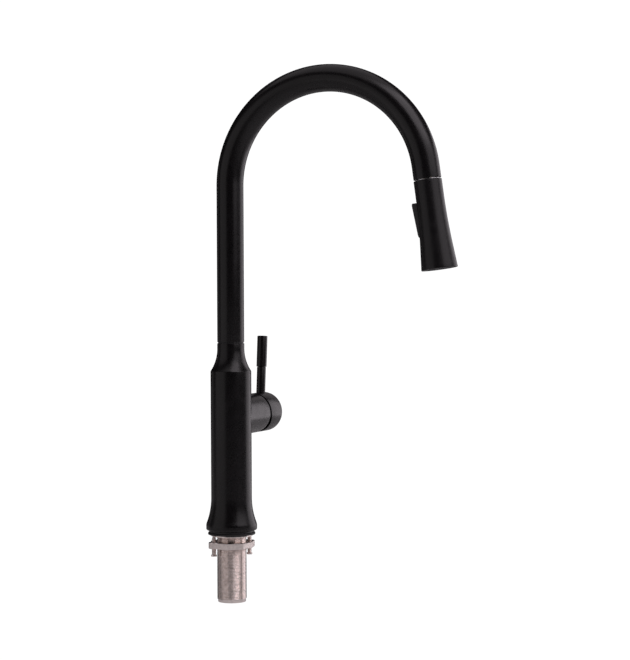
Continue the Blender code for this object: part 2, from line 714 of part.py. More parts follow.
def make_rocker(turn):
    """Spray mode rocker, and the bracket on the waterway that carries its pin between two ears."""
    low_t, high_t = ROCKER_PIN_T - 3.0, ROCKER_PIN_T + 3.0
    ears = block_mesh(*head_block(EAR_OUTER, WATERWAY_R + GAP, ROCKER_PIN_U + 1.9, low_t, high_t))
    cradle = add_object("rocker_cradle", ears, "grey_plastic", HEAD, turn)
    low_t, high_t = ROCKER_PIN_T - 4.0, ROCKER_PIN_T + 4.0
    room = head_block(EAR_INNER, WATERWAY_R + 1.1, 20.0, low_t, high_t)
    shape(cradle, block_tool("cradle_room_tool", *room, HEAD))
    pin_at = Matrix.Translation((0.0, -ROCKER_PIN_U, ROCKER_PIN_T))
    pin_place = HEAD @ pin_at @ Matrix.Rotation(math.pi / 2, 4, "Y")
    hole = turned_tool("pin_hole_tool", rod_outline(PIN_HOLE_R, -12.0, 12.0), pin_place, SMALL_SIDES)
    shape(cradle, hole)
    pin = rod_outline(PIN_R, -EAR_OUTER, EAR_OUTER, 0.2)
    turned("rocker_pin", pin, "steel", pin_place, turn, SMALL_SIDES)

    tilt = add_joint_frame("rocker_tilt", pin_place, turn)
    side_view = [
        (-ROCKER_INNER_U, ROCKER_TOP_T),
        (-ROCKER_TOP_U + 0.5, ROCKER_TOP_T),
        (-ROCKER_TOP_U, ROCKER_TOP_T + 0.5),
        (-ROCKER_END_U - 0.1, ROCKER_END_T - 0.8),
        (-ROCKER_END_U + 0.6, ROCKER_END_T),
        (-ROCKER_INNER_U, ROCKER_END_T),
    ]
    bm = prism_mesh(side_view, -ROCKER_HALF, ROCKER_HALF)
    # the side view's own x and y become the head's y and z
    bm.transform(Matrix(((0, 0, 1, 0), (1, 0, 0, 0), (0, 1, 0, 0), (0, 0, 0, 1))))
    rocker = add_object("rocker_button", bm, "black_plastic", HEAD, tilt)
    low_t, high_t = ROCKER_PIN_T - 2.6, ROCKER_PIN_T + 2.6
    tongue = head_block(TONGUE_HALF, WATERWAY_R + 1.5, ROCKER_INNER_U + 1.0, low_t, high_t)
    shape(rocker, block_tool("tongue_tool", *tongue, HEAD), "UNION")
    # the plate is relieved over the ears so that it can rock
    low_y, high_y = -ROCKER_PIN_U - 2.7, -ROCKER_INNER_U + 1.0
    low_t, high_t = ROCKER_PIN_T - 4.0, ROCKER_PIN_T + 4.0
    outer_x = ROCKER_HALF + 1.0
    for name, low_x, high_x in (("left", -outer_x, -TONGUE_HALF), ("right", TONGUE_HALF, outer_x)):
        low, high = (low_x, low_y, low_t), (high_x, high_y, high_t)
        shape(rocker, block_tool(f"{name}_ear_relief_tool", low, high, HEAD))
    shape(rocker, hole)


# ---- mixing valve and handle -------------------------------------------------------------

CARTRIDGE_WALL = 2.5
CARTRIDGE_FLOOR = 2.4
CARTRIDGE_END = 42.7
DISC_THICKNESS = 2.5
MOVING_DISC_R = 7.8
TURRET_NECK_R = 8.5
STEM_HALF = 3.0
STEM_FOOT = 33.6
STEM_END = 75.0
SOCKET_HALF = 3.3
TURRET_START = 36.4
TURRET_END = 51.5
TURRET_SLOT = 7.2  # half the slot that the stem rocks in
BONNET_DOME_R = 16.4
BONNET_MOUTH_R = 10.6
SOCKET_ROOM = 4.8  # half the carrier's socket, which the stem's foot works in
RELIEF = (-1.2, 6.0, 3.8)  # the moving disc's pocket: up to, down to, and half across
CAP_CAVITY_R = 18.6
CAP_FLOOR = 70.0
BOSS_R = 8.6
BOSS_START = 67.0
SPOTFACE = 20.1  # height of the lever's seat above the hub's axis
STUD_R = 2.9
STUD_LENGTH = 10.0  # threaded studs at both ends of the lever's rod
CAP_SCREW_AT = 72.5
CAP_SCREW_R = 2.0
CAP_SCREW_HEAD = 10.0


def drill_ports(target, low, high):
    """Two inlet ports and one outlet port through a disc or the floor of the valve."""
    ports = [(side * INLET_Y, INLET_RISE) for _, side in INLET_SIDES] + [(0.0, OUTLET_RISE)]
    for number, (y, rise) in enumerate(ports):
        through = rod_outline(PORT_R, low, high)
        name = f"{target.name}_port_tool_{number}"
        shape(target, turned_tool(name, through, valve_port(y, rise), SMALL_SIDES))


def make_valve():
    outer_r = VALVE_BORE_R - GAP
    inner_r = outer_r - CARTRIDGE_WALL
    start = VALVE_FLOOR + GAP
    floor = start + CARTRIDGE_FLOOR
    outline = [
        (0.0, start),
        (outer_r, start),
        (outer_r, CARTRIDGE_END),
        (inner_r, CARTRIDGE_END),
        (inner_r, floor),
        (0.0, floor),
    ]
    cartridge = turned("cartridge_body", outline, "white_plastic", HUB)
    drill_ports(cartridge, start - 1.0, floor + 1.0)

    fixed_start = floor + GAP
    fixed_end = fixed_start + DISC_THICKNESS
    fixed = turned("ceramic_disc_fixed", rod_outline(inner_r - GAP, fixed_start, fixed_end), "ceramic", HUB)
    drill_ports(fixed, fixed_start - 1.0, fixed_end + 1.0)

    bonnet_start = CARTRIDGE_END + 2 * GAP
    bonnet_end = HUB_END + 4.4
    bonnet_bore_r = TURRET_NECK_R + GAP
    bonnet = [
        (bonnet_bore_r, bonnet_start),
        (BONNET_BORE_R - GAP, bonnet_start),
        (BONNET_BORE_R - GAP, HUB_END + 0.6),
        (BONNET_DOME_R, HUB_END + 1.6),
        (BONNET_MOUTH_R + 1.4, bonnet_end),
        (BONNET_MOUTH_R, bonnet_end),
        (BONNET_MOUTH_R, TURRET_END - 0.5),
        (bonnet_bore_r, TURRET_END - 1.5),
    ]
    turned("bonnet_nut", bonnet, "black_plastic", HUB)

    # the turret and everything on it turns about the hub's axis for the temperature
    turn = add_joint_frame("temperature_turn", HUB)
    inner = inner_r - GAP
    turret = [
        (0.0, TURRET_START),
        (inner, TURRET_START),
        (inner, CARTRIDGE_END - GAP),
        (TURRET_NECK_R, CARTRIDGE_END - GAP),
        (TURRET_NECK_R, TURRET_END),
        (0.0, TURRET_END),
    ]
    turret_piece = turned("cartridge_turret", turret, "grey_plastic", HUB, turn)
    slot_half = STEM_HALF + GAP
    slot_low = (-TURRET_SLOT, -slot_half, TURRET_START - 1.0)
    slot_high = (TURRET_SLOT, slot_half, TURRET_END + 1.0)
    shape(turret_piece, block_tool("turret_slot_tool", slot_low, slot_high, HUB))
    pin_place = HUB @ Matrix.Translation((0.0, 0.0, PIVOT)) @ Matrix.Rotation(math.pi / 2, 4, "X")
    pin_half = 7.4
    pin_room = rod_outline(PIN_R + GAP, -10.0, 10.0)
    pin_hole = turned_tool("stem_pin_hole_tool", pin_room, pin_place, SMALL_SIDES)
    shape(turret_piece, pin_hole)
    turned("stem_pin", rod_outline(PIN_R, -pin_half, pin_half, 0.2), "steel", pin_place, turn, SMALL_SIDES)

    # the moving disc slides as the stem tilts
    slide = add_joint_frame("disc_shift", HUB, turn)
    moving_start = fixed_end + GAP
    moving_end = moving_start + DISC_THICKNESS
    moving_outline = rod_outline(MOVING_DISC_R, moving_start, moving_end)
    moving = turned("ceramic_disc_moving", moving_outline, "ceramic", HUB, slide)
    up, down, across = RELIEF
    low = (up, -across, moving_start - 1.0)
    high = (down, across, moving_start + DISC_THICKNESS / 2)
    shape(moving, block_tool("disc_relief_tool", low, high, HUB))
    carrier_outline = rod_outline(MOVING_DISC_R, moving_end + GAP, TURRET_START - GAP)
    carrier = turned("disc_carrier", carrier_outline, "grey_plastic", HUB, slide)
    low = (-SOCKET_ROOM, -SOCKET_ROOM, STEM_FOOT - 0.6)
    high = (SOCKET_ROOM, SOCKET_ROOM, TURRET_START + 1.0)
    shape(carrier, block_tool("carrier_socket_tool", low, high, HUB))
    return turn, pin_hole


def make_handle(turn, pin_hole):
    lift = add_joint_frame("flow_lift", HUB @ Matrix.Translation((0.0, 0.0, PIVOT)), turn)
    bar = block_mesh((-STEM_HALF, -STEM_HALF, STEM_FOOT), (STEM_HALF, STEM_HALF, STEM_END))
    stem = add_object("valve_stem", bar, "brass", HUB, lift)
    shape(stem, pin_hole)

    edge = 1.2
    outline = [(CAP_CAVITY_R, CAP_START), (HUB_R - 0.3, CAP_START), (HUB_R, CAP_START + 0.3)]
    outline += arc_down(HUB_R - edge, CAP_END - edge, edge, 0.0, math.pi / 2, 3)
    inside = [(0.0, BOSS_START), (BOSS_R, BOSS_START), (BOSS_R, CAP_FLOOR), (CAP_CAVITY_R, CAP_FLOOR)]
    # the outline runs from the boss on the axis, round the rim, to the end face on the axis
    bm = turned_mesh(inside + outline + [(0.0, CAP_END)], BODY_SIDES)
    # the lower half of the rim (local +X) is cut back on a slant, starting at the hub's axis
    for vert in bm.verts:
        if vert.co.z < CAP_START + 1.0 and vert.co.x > 0.0:
            vert.co.z += vert.co.x * math.tan(CAP_RELIEF)
    cap = add_object("handle_cap", bm, "matte_black", HUB, lift)
    socket_low = (-SOCKET_HALF, -SOCKET_HALF, BOSS_START - 1.0)
    socket_high = (SOCKET_HALF, SOCKET_HALF, STEM_END + 1.0)
    shape(cap, block_tool("stem_socket_tool", socket_low, socket_high, HUB))

    seat = rod_outline(ROD_R + 0.3, SPOTFACE, SPOTFACE + 10.0)
    shape(cap, turned_tool("lever_seat_tool", seat, LEVER, PART_SIDES))
    stud_foot = SPOTFACE - STUD_LENGTH
    stud_hole = rod_outline(STUD_R + GAP, stud_foot, SPOTFACE + 2.0)
    shape(cap, turned_tool("lever_stud_tool", stud_hole, LEVER, SMALL_SIDES))

    # the set screw comes up from below into the stem, behind a plug in the cap's wall
    below = Matrix.Translation((CAP_SCREW_AT, 0.0, HUB_Z)) @ Matrix.Rotation(math.pi, 4, "X")
    channel = rod_outline(CAP_SCREW_R + GAP, SOCKET_HALF - 0.5, HUB_R + 2.0)
    shape(cap, turned_tool("set_screw_channel_tool", channel, below, SMALL_SIDES))
    screw = rod_outline(CAP_SCREW_R, STEM_HALF + 0.5, CAP_SCREW_HEAD, 0.4)
    turned("handle_set_screw", screw, "steel", below, lift, SMALL_SIDES)
    plug = rod_outline(CAP_SCREW_R + 0.1, HUB_R - 4.0, HUB_R - 0.2, 0.3)
    turned("set_screw_plug", plug, "black_plastic", below, lift, SMALL_SIDES)

    rod = [
        (0.0, stud_foot + GAP),
        (STUD_R, stud_foot + GAP),
        (STUD_R, SPOTFACE + GAP),
        (ROD_R, SPOTFACE + GAP),
        (ROD_R, ROD_TOP),
        (STUD_R, ROD_TOP),
        (STUD_R, ROD_TOP + STUD_LENGTH),
        (0.0, ROD_TOP + STUD_LENGTH),
    ]
    turned("lever_rod", rod, "matte_black", LEVER, lift, PART_SIDES)
    grip = [
        (0.0, ROD_TOP + STUD_LENGTH + GAP),
        (STUD_R + GAP, ROD_TOP + STUD_LENGTH + GAP),
        (STUD_R + GAP, ROD_TOP + GAP),
        (GRIP_R - 0.5, ROD_TOP + GAP),
        (GRIP_R, ROD_TOP + GAP + 0.5),
        (GRIP_R, GRIP_TOP - 0.5),
        (GRIP_R - 0.5, GRIP_TOP),
        (0.0, GRIP_TOP),
    ]
    turned("lever_grip", grip, "matte_black", LEVER, lift, PART_SIDES)


def main():
    for obj in list(bpy.data.objects):
        bpy.data.objects.remove(obj, do_unlink=True)
    make_body()
    make_nipples()
    make_foot()
    make_clamp()
    swivel = make_spout()
    make_head(make_hose_end(swivel))
    turn, pin_hole = make_valve()
    make_handle(turn, pin_hole)


main()
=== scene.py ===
"""Looks of the pull-down kitchen faucet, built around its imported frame.

Pieces are drawn in millimetres and made in metres through MM. The camera, the floor and the lights are
placed in metres. Places come from the frame's boxes and joints. Local frames: UPRIGHT is the row's own,
HUB has +Z out along the handle's hub and +X down, HEAD has +Z from the docking gap to the outlet and -Y
towards the body, LEVER has +Z up the lever. An outline is a list of (radius, height) points, spun about Z.
"""

import json
from math import acos, atan2, copysign, cos, dist, pi, radians, sin, sqrt, tan

import bmesh
import bpy
from mathutils import Matrix, Vector


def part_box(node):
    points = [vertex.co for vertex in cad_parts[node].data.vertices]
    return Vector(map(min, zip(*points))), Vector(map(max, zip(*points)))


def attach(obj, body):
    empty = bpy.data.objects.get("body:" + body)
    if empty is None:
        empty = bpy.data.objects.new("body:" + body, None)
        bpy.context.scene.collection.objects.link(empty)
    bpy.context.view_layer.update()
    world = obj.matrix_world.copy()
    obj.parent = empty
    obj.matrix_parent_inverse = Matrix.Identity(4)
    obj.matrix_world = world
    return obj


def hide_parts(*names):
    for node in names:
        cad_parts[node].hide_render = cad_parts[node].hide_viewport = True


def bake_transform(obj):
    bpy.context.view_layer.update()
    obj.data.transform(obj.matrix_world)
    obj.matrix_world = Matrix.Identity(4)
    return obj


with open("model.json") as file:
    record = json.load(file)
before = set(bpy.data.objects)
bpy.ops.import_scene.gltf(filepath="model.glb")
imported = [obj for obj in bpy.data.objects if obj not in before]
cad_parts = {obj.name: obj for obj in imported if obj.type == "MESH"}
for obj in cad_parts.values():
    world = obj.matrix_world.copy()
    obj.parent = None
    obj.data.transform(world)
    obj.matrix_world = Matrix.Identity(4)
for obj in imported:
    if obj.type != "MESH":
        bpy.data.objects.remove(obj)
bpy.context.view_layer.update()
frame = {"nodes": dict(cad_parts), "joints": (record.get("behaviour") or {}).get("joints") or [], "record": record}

MM = 0.001
FULL = 2 * pi
QUARTER = pi / 2

ON_AXIS = 1e-6  # a smaller radius counts as none
CLEAR = 0.3  # room between neighbouring pieces

JOINTS = {joint["name"]: joint for joint in frame["joints"]}


def top(node, axis=2):
    """Where a CAD node ends along an axis, in millimetres."""
    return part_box(node)[1][axis] / MM


def bottom(node, axis=2):
    """Where a CAD node starts along an axis, in millimetres."""
    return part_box(node)[0][axis] / MM


# ---- frames ----


def basis(at, along, across=(1.0, 0.0, 0.0)):
    """Frame with +Z along one direction and +X across it, at a point in metres."""
    z = Vector(along).normalized()
    x = Vector(across).normalized()
    y = z.cross(x)
    return Matrix.Translation(Vector(at)) @ Matrix((x, y, z)).transposed().to_4x4()


LEVER_AT = 77.1  # where the lever's axis crosses the hub's axis, from the body's axis
LEVER_LEAN = radians(5.15)

UPRIGHT = Matrix()
HUB_Z = JOINTS["temperature_turn"]["pos_m"][2] / MM
HUB = basis((0.0, 0.0, HUB_Z * MM), (1.0, 0.0, 0.0), (0.0, 0.0, -1.0))
HEAD = basis(JOINTS["head_swivel"]["pos_m"], JOINTS["head_swivel"]["axis"])
MOUTH_TILT = atan2(-JOINTS["head_swivel"]["axis"][1], -JOINTS["head_swivel"]["axis"][2])
LEVER = Matrix.Translation((LEVER_AT * MM, 0.0, HUB_Z * MM)) @ Matrix.Rotation(LEVER_LEAN, 4, "Y")


# ---- outlines ----


def arc(centre, radius, start, end, steps):
    """Points of an arc in an outline's (radius, height) plane; angles from the outward direction."""
    r, z = centre
    turns = [start + (end - start) * step / steps for step in range(steps + 1)]
    return [(r + radius * cos(turn), z + radius * sin(turn)) for turn in turns]


def corner(before, here, after, rounding, steps=3):
    """Points that round one corner of an outline, between the points before and after it."""
    back, on = Vector(before) - Vector(here), Vector(after) - Vector(here)
    reach = min(rounding, back.length * 0.45, on.length * 0.45)
    first = Vector(here) + back.normalized() * reach
    last = Vector(here) + on.normalized() * reach
    points = []
    for step in range(steps + 1):
        t = step / steps
        points.append(tuple(first.lerp(Vector(here), t).lerp(Vector(here).lerp(last, t), t)))
    return points


def softened(corners, rounding, steps=3):
    """A closed outline whose corners are rounded; points on the axis stay sharp."""
    points = []
    for i, here in enumerate(corners):
        after = corners[(i + 1) % len(corners)]
        if here[0] < ON_AXIS:
            points.append(tuple(here))
        else:
            points += corner(corners[i - 1], here, after, rounding, steps)
    return points


def ring(inner, outer, low, high):
    return [(inner, low), (outer, low), (outer, high), (inner, high)]


def rod(radius, low, high):
    return [(0.0, low), (radius, low), (radius, high), (0.0, high)]


def groove(radius, start, depth, slope, width):
    """Outline points of a groove across a piece's side."""
    floor, end = radius - depth, start + width
    return [(radius, start), (floor, start + slope), (floor, end - slope), (radius, end)]


def eased(share):
    """A share of a way that starts and ends slowly."""
    return share * share * (3 - 2 * share)


# ---- meshes ----


class Skin:
    """A mesh in millimetres, grown loop by loop. Each loop is a row of vertices."""

    def __init__(self):
        self.bm = bmesh.new()

    def loop(self, points):
        return [self.bm.verts.new(point) for point in points]

    def join(self, here, there, closed=True):
        count = len(here) if closed else len(here) - 1
        for i in range(count):
            j = (i + 1) % len(here)
            self.bm.faces.new((here[i], here[j], there[j], there[i]))

    def loft(self, rows, closed=True):
        loops = [self.loop(row) for row in rows]
        for here, there in zip(loops, loops[1:]):
            self.join(here, there, closed)
        return loops

    def cap(self, loop):
        self.bm.faces.new(loop)

    def solid(self, rows):
        """Loft between rows of points, with flat ends."""
        loops = self.loft(rows)
        self.cap(loops[0])
        self.cap(loops[-1])
        return self.bm

    def grow(self, here, rows):
        """Go on from a loop through rows of points, and return the last loop."""
        for row in rows:
            there = self.loop(row)
            self.join(here, there)
            here = there
        return here

    def turn(self, outline, sides):
        """Spin an outline about Z. On the axis it closes to a point."""
        rows = []
        for radius, height in outline:
            if radius < ON_AXIS:
                rows.append(self.loop([(0.0, 0.0, height)]) * sides)
            else:
                rows.append(self.loop(turn_points(radius, height, sides)))
        pairs = list(zip(rows, rows[1:]))
        if outline[0][0] > ON_AXIS:
            pairs.append((rows[-1], rows[0]))
        for here, there in pairs:
            for i in range(sides):
                j = (i + 1) % sides
                corners = dict.fromkeys((here[i], here[j], there[j], there[i]))
                if len(corners) > 2:
                    self.bm.faces.new(list(corners))
        return self.bm


def around(count, start=0.0):
    """Evenly spread turns."""
    return [start + FULL * i / count for i in range(count)]


def turn_points(radius, height, sides, start=0.0):
    return [(radius * cos(turn), radius * sin(turn), height) for turn in around(sides, start)]


def turn_rows(outline, sides, start=0.0):
    """A row of points round Z for each point of an outline."""
    return [turn_points(radius, height, sides, start) for radius, height in outline]


def shade(mesh, sharp):
    """Smooth, but for edges sharper than this many degrees."""
    mesh.shade_smooth()
    mesh.set_sharp_from_angle(angle=radians(sharp))


def hold(name, data, place):
    """Put a mesh, a light or a camera in the scene."""
    held = bpy.data.objects.new(name, data)
    bpy.context.scene.collection.objects.link(held)
    held.matrix_world = place
    return held


def add(name, bm, material=None, body=None, place=UPRIGHT, sharp=32.0):
    """Turn a bmesh in millimetres into an object in metres that rides on a body."""
    bmesh.ops.remove_doubles(bm, verts=bm.verts, dist=1e-5)
    bmesh.ops.recalc_face_normals(bm, faces=bm.faces)
    bm.transform(Matrix.Scale(MM, 4))
    mesh = bpy.data.meshes.new(name)
    bm.to_mesh(mesh)
    bm.free()
    shade(mesh, sharp)
    if material:
        mesh.materials.append(material)
    piece = hold(name, mesh, place)
    if body:
        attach(piece, body)
    return piece


def stands_for(node):
    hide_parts(node)


def part(name, node, slot, body, bm, place=UPRIGHT, sharp=32.0):
    """A piece that stands for a CAD node and has its slot's look."""
    piece = add(name, bm, LOOKS[slot], body, place, sharp)
    stands_for(node)
    return piece


def turned(name, node, slot, body, outline, place=UPRIGHT, sides=96, rounding=0.0, sharp=32.0):
    """A part spun from an outline."""
    if rounding:
        outline = softened(outline, rounding)
    return part(name, node, slot, body, Skin().turn(outline, sides), place, sharp)


def mend(mesh):
    """Close the pinholes that a boolean leaves where faces almost meet."""
    bm = bmesh.new()
    bm.from_mesh(mesh)
    bmesh.ops.remove_doubles(bm, verts=bm.verts, dist=0.002 * MM)
    bmesh.ops.dissolve_degenerate(bm, edges=bm.edges, dist=0.001 * MM)
    bmesh.ops.holes_fill(bm, edges=[edge for edge in bm.edges if edge.is_boundary])
    bmesh.ops.recalc_face_normals(bm, faces=bm.faces)
    bm.to_mesh(mesh)
    bm.free()


def cut(piece, tools, operation="DIFFERENCE", sharp=32.0):
    """Cut tools from a piece, or join them on, and keep the result as its mesh."""
    for tool in tools:
        modifier = piece.modifiers.new(tool.name, "BOOLEAN")
        modifier.operation = operation
        modifier.object = tool
    bpy.context.view_layer.update()
    evaluated = piece.evaluated_get(bpy.context.evaluated_depsgraph_get())
    mesh = bpy.data.meshes.new_from_object(evaluated)
    piece.modifiers.clear()
    piece.data = mesh
    mend(mesh)
    while len(mesh.materials) > 1:
        mesh.materials.pop()
    for polygon in mesh.polygons:
        polygon.material_index = 0
    shade(mesh, sharp)
    for tool in tools:
        bpy.data.objects.remove(tool)


def cutter(outline, place, sides=32):
    return add("cutter", Skin().turn(outline, sides), place=place)


def prism(rows, place):
    """Solid between equal rows of points, with flat ends, to cut with or to join on."""
    return add("cutter", Skin().solid(rows), place=place)


def block(low, high, place):
    corners = [(low[0], low[1]), (high[0], low[1]), (high[0], high[1]), (low[0], high[1])]
    return prism([[(x, y, z) for x, y in corners] for z in (low[2], high[2])], place)


# ---- materials ----


class Finish:
    """A Principled material built up from noise in the piece's own coordinates."""

    def __init__(self, name, colour, roughness, metallic=0.0):
        self.material = bpy.data.materials.new(name)
        self.material.use_nodes = True
        self.tree = self.material.node_tree
        self.shader = self.tree.nodes["Principled BSDF"]
        self.place = self.tree.nodes.new("ShaderNodeTexCoord").outputs["Object"]
        self.set("Base Color", (*colour, 1.0))
        self.set("Roughness", roughness)
        self.set("Metallic", metallic)
        self.normal = None

    def set(self, socket, value):
        self.shader.inputs[socket].default_value = value

    def link(self, output, node, socket):
        self.tree.links.new(output, node.inputs[socket])

    def node(self, kind, **settings):
        made = self.tree.nodes.new(kind)
        for name, value in settings.items():
            if name in made.inputs:
                made.inputs[name].default_value = value
            else:
                setattr(made, name, value)
        return made

    def noise(self, size, detail=2.0, stretch=(1.0, 1.0, 1.0)):
        """Noise whose features are about this size in millimetres, before the stretch."""
        mapping = self.node("ShaderNodeMapping", Scale=stretch)
        self.link(self.place, mapping, "Vector")
        made = self.node("ShaderNodeTexNoise", Scale=1.0 / (size * MM), Detail=detail)
        self.link(mapping.outputs["Vector"], made, "Vector")
        return made.outputs["Fac"]

    def spread(self, value, low, high, start=0.3, end=0.7):
        made = self.node("ShaderNodeMapRange")
        for socket, number in zip(("From Min", "From Max", "To Min", "To Max"), (start, end, low, high)):
            made.inputs[socket].default_value = number
        self.link(value, made, "Value")
        return made.outputs["Result"]

    def tint(self, value, one, other, start=0.3, end=0.7):
        """Base colour between two tones."""
        made = self.node("ShaderNodeMix", data_type="RGBA", A=(*one, 1.0), B=(*other, 1.0))
        self.link(self.spread(value, 0.0, 1.0, start, end), made, "Factor")
        self.link(made.outputs["Result"], self.shader, "Base Color")

    def roughen(self, value, low, high, start=0.3, end=0.7):
        self.link(self.spread(value, low, high, start, end), self.shader, "Roughness")

    def bump(self, value, height):
        """Raise the surface by a value, up to a height in millimetres."""
        made = self.node("ShaderNodeBump", Strength=1.0, Distance=height * MM)
        self.link(value, made, "Height")
        if self.normal:
            self.link(self.normal, made, "Normal")
        self.normal = made.outputs["Normal"]
        self.link(self.normal, self.shader, "Normal")


def powder_coat():
    """Matte black powder coat: fine orange peel, a finer grain and faint cloudiness."""
    made = Finish("matte_black_coat", (0.0032, 0.0026, 0.003), 0.28)
    made.tint(made.noise(18.0, 3.0), (0.0026, 0.0021, 0.0025), (0.0042, 0.0034, 0.004))
    made.roughen(made.noise(9.0, 4.0), 0.25, 0.31)
    made.set("IOR", 1.4)
    made.bump(made.noise(0.9, 3.0), 0.012)
    made.bump(made.noise(0.25, 1.0), 0.004)
    return made.material


def head_coat():
    """The spray head's coat is a little smoother than the metal's."""
    made = Finish("spray_head_coat", (0.0045, 0.0038, 0.0045), 0.34)
    made.tint(made.noise(14.0, 3.0), (0.0038, 0.0032, 0.0038), (0.0055, 0.0046, 0.0054))
    made.roughen(made.noise(7.0, 4.0), 0.31, 0.38)
    made.set("IOR", 1.42)
    made.bump(made.noise(0.7, 3.0), 0.010)
    return made.material


def moulded(name, colour, roughness):
    """Moulded plastic with a spark-eroded texture."""
    made = Finish(name, colour, roughness)
    darker = [channel * 0.86 for channel in colour]
    made.tint(made.noise(6.0, 3.0), darker, colour)
    made.roughen(made.noise(3.0, 3.0), roughness - 0.04, roughness + 0.05)
    made.bump(made.noise(0.35, 2.0), 0.010)
    return made.material


def rubber(name, colour, roughness):
    made = Finish(name, colour, roughness)
    paler = [channel * 1.6 for channel in colour]
    made.tint(made.noise(4.0, 5.0), colour, paler, 0.35, 0.8)
    made.roughen(made.noise(1.6, 4.0), roughness - 0.08, roughness + 0.1)
    made.bump(made.noise(0.5, 3.0), 0.02)
    return made.material


def machined(name, colour, roughness, depth=0.006):
    """Turned metal: fine rings from the tool, which lie across the piece's own Z."""
    made = Finish(name, colour, roughness, 1.0)
    rings = made.noise(0.22, 4.0, (0.02, 0.02, 1.0))
    dull = [channel * 0.8 for channel in colour]
    made.tint(made.noise(3.5, 5.0), dull, colour, 0.25, 0.6)
    made.roughen(rings, roughness - 0.05, roughness + 0.08)
    made.bump(rings, depth)
    made.set("Anisotropic", 0.35)
    return made.material


def ceramic():
    made = Finish("valve_ceramic", (0.86, 0.84, 0.80), 0.16)
    made.tint(made.noise(2.0, 4.0), (0.80, 0.77, 0.72), (0.88, 0.86, 0.82))
    made.roughen(made.noise(0.8, 2.0), 0.12, 0.22)
    made.bump(made.noise(0.3, 2.0), 0.002)
    return made.material


BRAID_PITCH = 2.6  # along the hose, of one strand's crossing
BRAID_STRANDS = 16


def braided(name, unrolled=False):
    """Woven nylon sleeve, whose strands cross at a diagonal.

    A straight hose is measured round its own Z and along it. An unrolled one has a UV map, with turns
    across and metres along.
    """
    made = Finish(name, (0.10, 0.10, 0.11), 0.55)
    if unrolled:
        made.place = made.node("ShaderNodeTexCoord").outputs["UV"]
    parts = made.node("ShaderNodeSeparateXYZ")
    made.link(made.place, parts, "Vector")

    def maths(operation, one, other):
        step = made.node("ShaderNodeMath", operation=operation)
        for number, value in enumerate((one, other)):
            if isinstance(value, float):
                step.inputs[number].default_value = value
            else:
                made.tree.links.new(value, step.inputs[number])
        return step.outputs["Value"]

    if unrolled:
        turn = maths("MULTIPLY", parts.outputs["X"], BRAID_STRANDS * pi)
    else:
        round_it = maths("ARCTAN2", parts.outputs["Y"], parts.outputs["X"])
        turn = maths("MULTIPLY", round_it, BRAID_STRANDS / 2.0)
    length = parts.outputs["Y" if unrolled else "Z"]
    along = maths("MULTIPLY", length, pi / (BRAID_PITCH * MM))
    one_way = maths("SINE", maths("ADD", turn, along), 0.0)
    other_way = maths("SINE", maths("SUBTRACT", turn, along), 0.0)
    weave = maths("MULTIPLY", one_way, other_way)
    made.tint(weave, (0.035, 0.035, 0.038), (0.21, 0.21, 0.22), -0.6, 0.8)
    made.roughen(weave, 0.7, 0.45, -0.8, 0.8)
    made.bump(weave, 0.25)
    return made.material


LOOKS = {
    "matte_black": powder_coat(),
    "head_black": head_coat(),
    "black_plastic": moulded("satin_black_plastic", (0.012, 0.012, 0.013), 0.42),
    "grey_plastic": moulded("grey_plastic", (0.12, 0.12, 0.125), 0.45),
    "white_plastic": moulded("white_plastic", (0.74, 0.74, 0.72), 0.38),
    "rubber": rubber("black_rubber", (0.012, 0.012, 0.012), 0.62),
    "silicone": rubber("grey_silicone", (0.075, 0.075, 0.08), 0.5),
    "nickel": machined("nickel_plate", (0.9, 0.82, 0.78), 0.1, depth=0.001),
    "steel": machined("stainless_steel", (0.60, 0.60, 0.61), 0.24),
    "brass": machined("machined_brass", (0.78, 0.58, 0.28), 0.24),
    "ceramic": ceramic(),
    "braid": braided("hose_braid"),
}
PULLED_BRAID = braided("pulled_hose_braid", unrolled=True)


def dress_cad_nodes():
    """Give every carried-over node the look of its slot."""
    for subpart in frame["record"]["subparts"]:
        mesh = frame["nodes"][subpart["node"]].data
        mesh.materials.clear()
        mesh.materials.append(LOOKS[subpart["material_slot"]])


# ---- body ----

BODY_R = 21.2
NECK_R = 14.1
NECK_FLARE_R = 42.6
NECK_FLARE_TOP_Z = 193.3
RIM_ROUNDING = 0.5
BELL_TOP_Z = 38.0
BELL_R = 72.6
BELL_SWEEP = radians(20.7)
BELL_ROUND_R = 9.3
FOOT_FILLET = 1.8
NECK_BORE_R = 12.3
NECK_BORE_Z = 152.0
PASSAGE_R = 7.5
PASSAGE_TAPER = 4.0
CHAMBER_R = 15.7
CHAMBER_TOP_Z = 92.0
HUB_R = 20.9
HUB_END = 56.4
HUB_RINGS = (30.0, 45.0)  # where its plain side has loops of vertices
BONNET_BORE_R = 17.8
BONNET_BORE_START = 43.0
VALVE_BORE_R = 14.3
VALVE_FLOOR = 21.6
WELD_R = 1.2  # fillet where the hub grows out of the barrel
WELD_STEPS = 8
WELD_END = 0.8  # plain stretch of hub beyond it
PATCH_HALF_Z = 27.0  # the stretch of barrel round the hub's root, above and below its axis
PATCH_RISE = 24  # segments up its straight sides
PATCH_SHARES = (0.15, 0.3, 0.45, 0.6, 0.75, 0.88, 0.96)  # its loops, from its edge to the weld
BODY_SIDES = 128
SCREW_HOLE_R = 2.5
SCREW_HOLE = basis((0.0, 0.0, 160.0 * MM), (0.0, 1.0, 0.0))
GRUB_R = 2.2
GRUB_SOCKET_R = 1.25
GRUB_SOCKET_DEPTH = 2.0


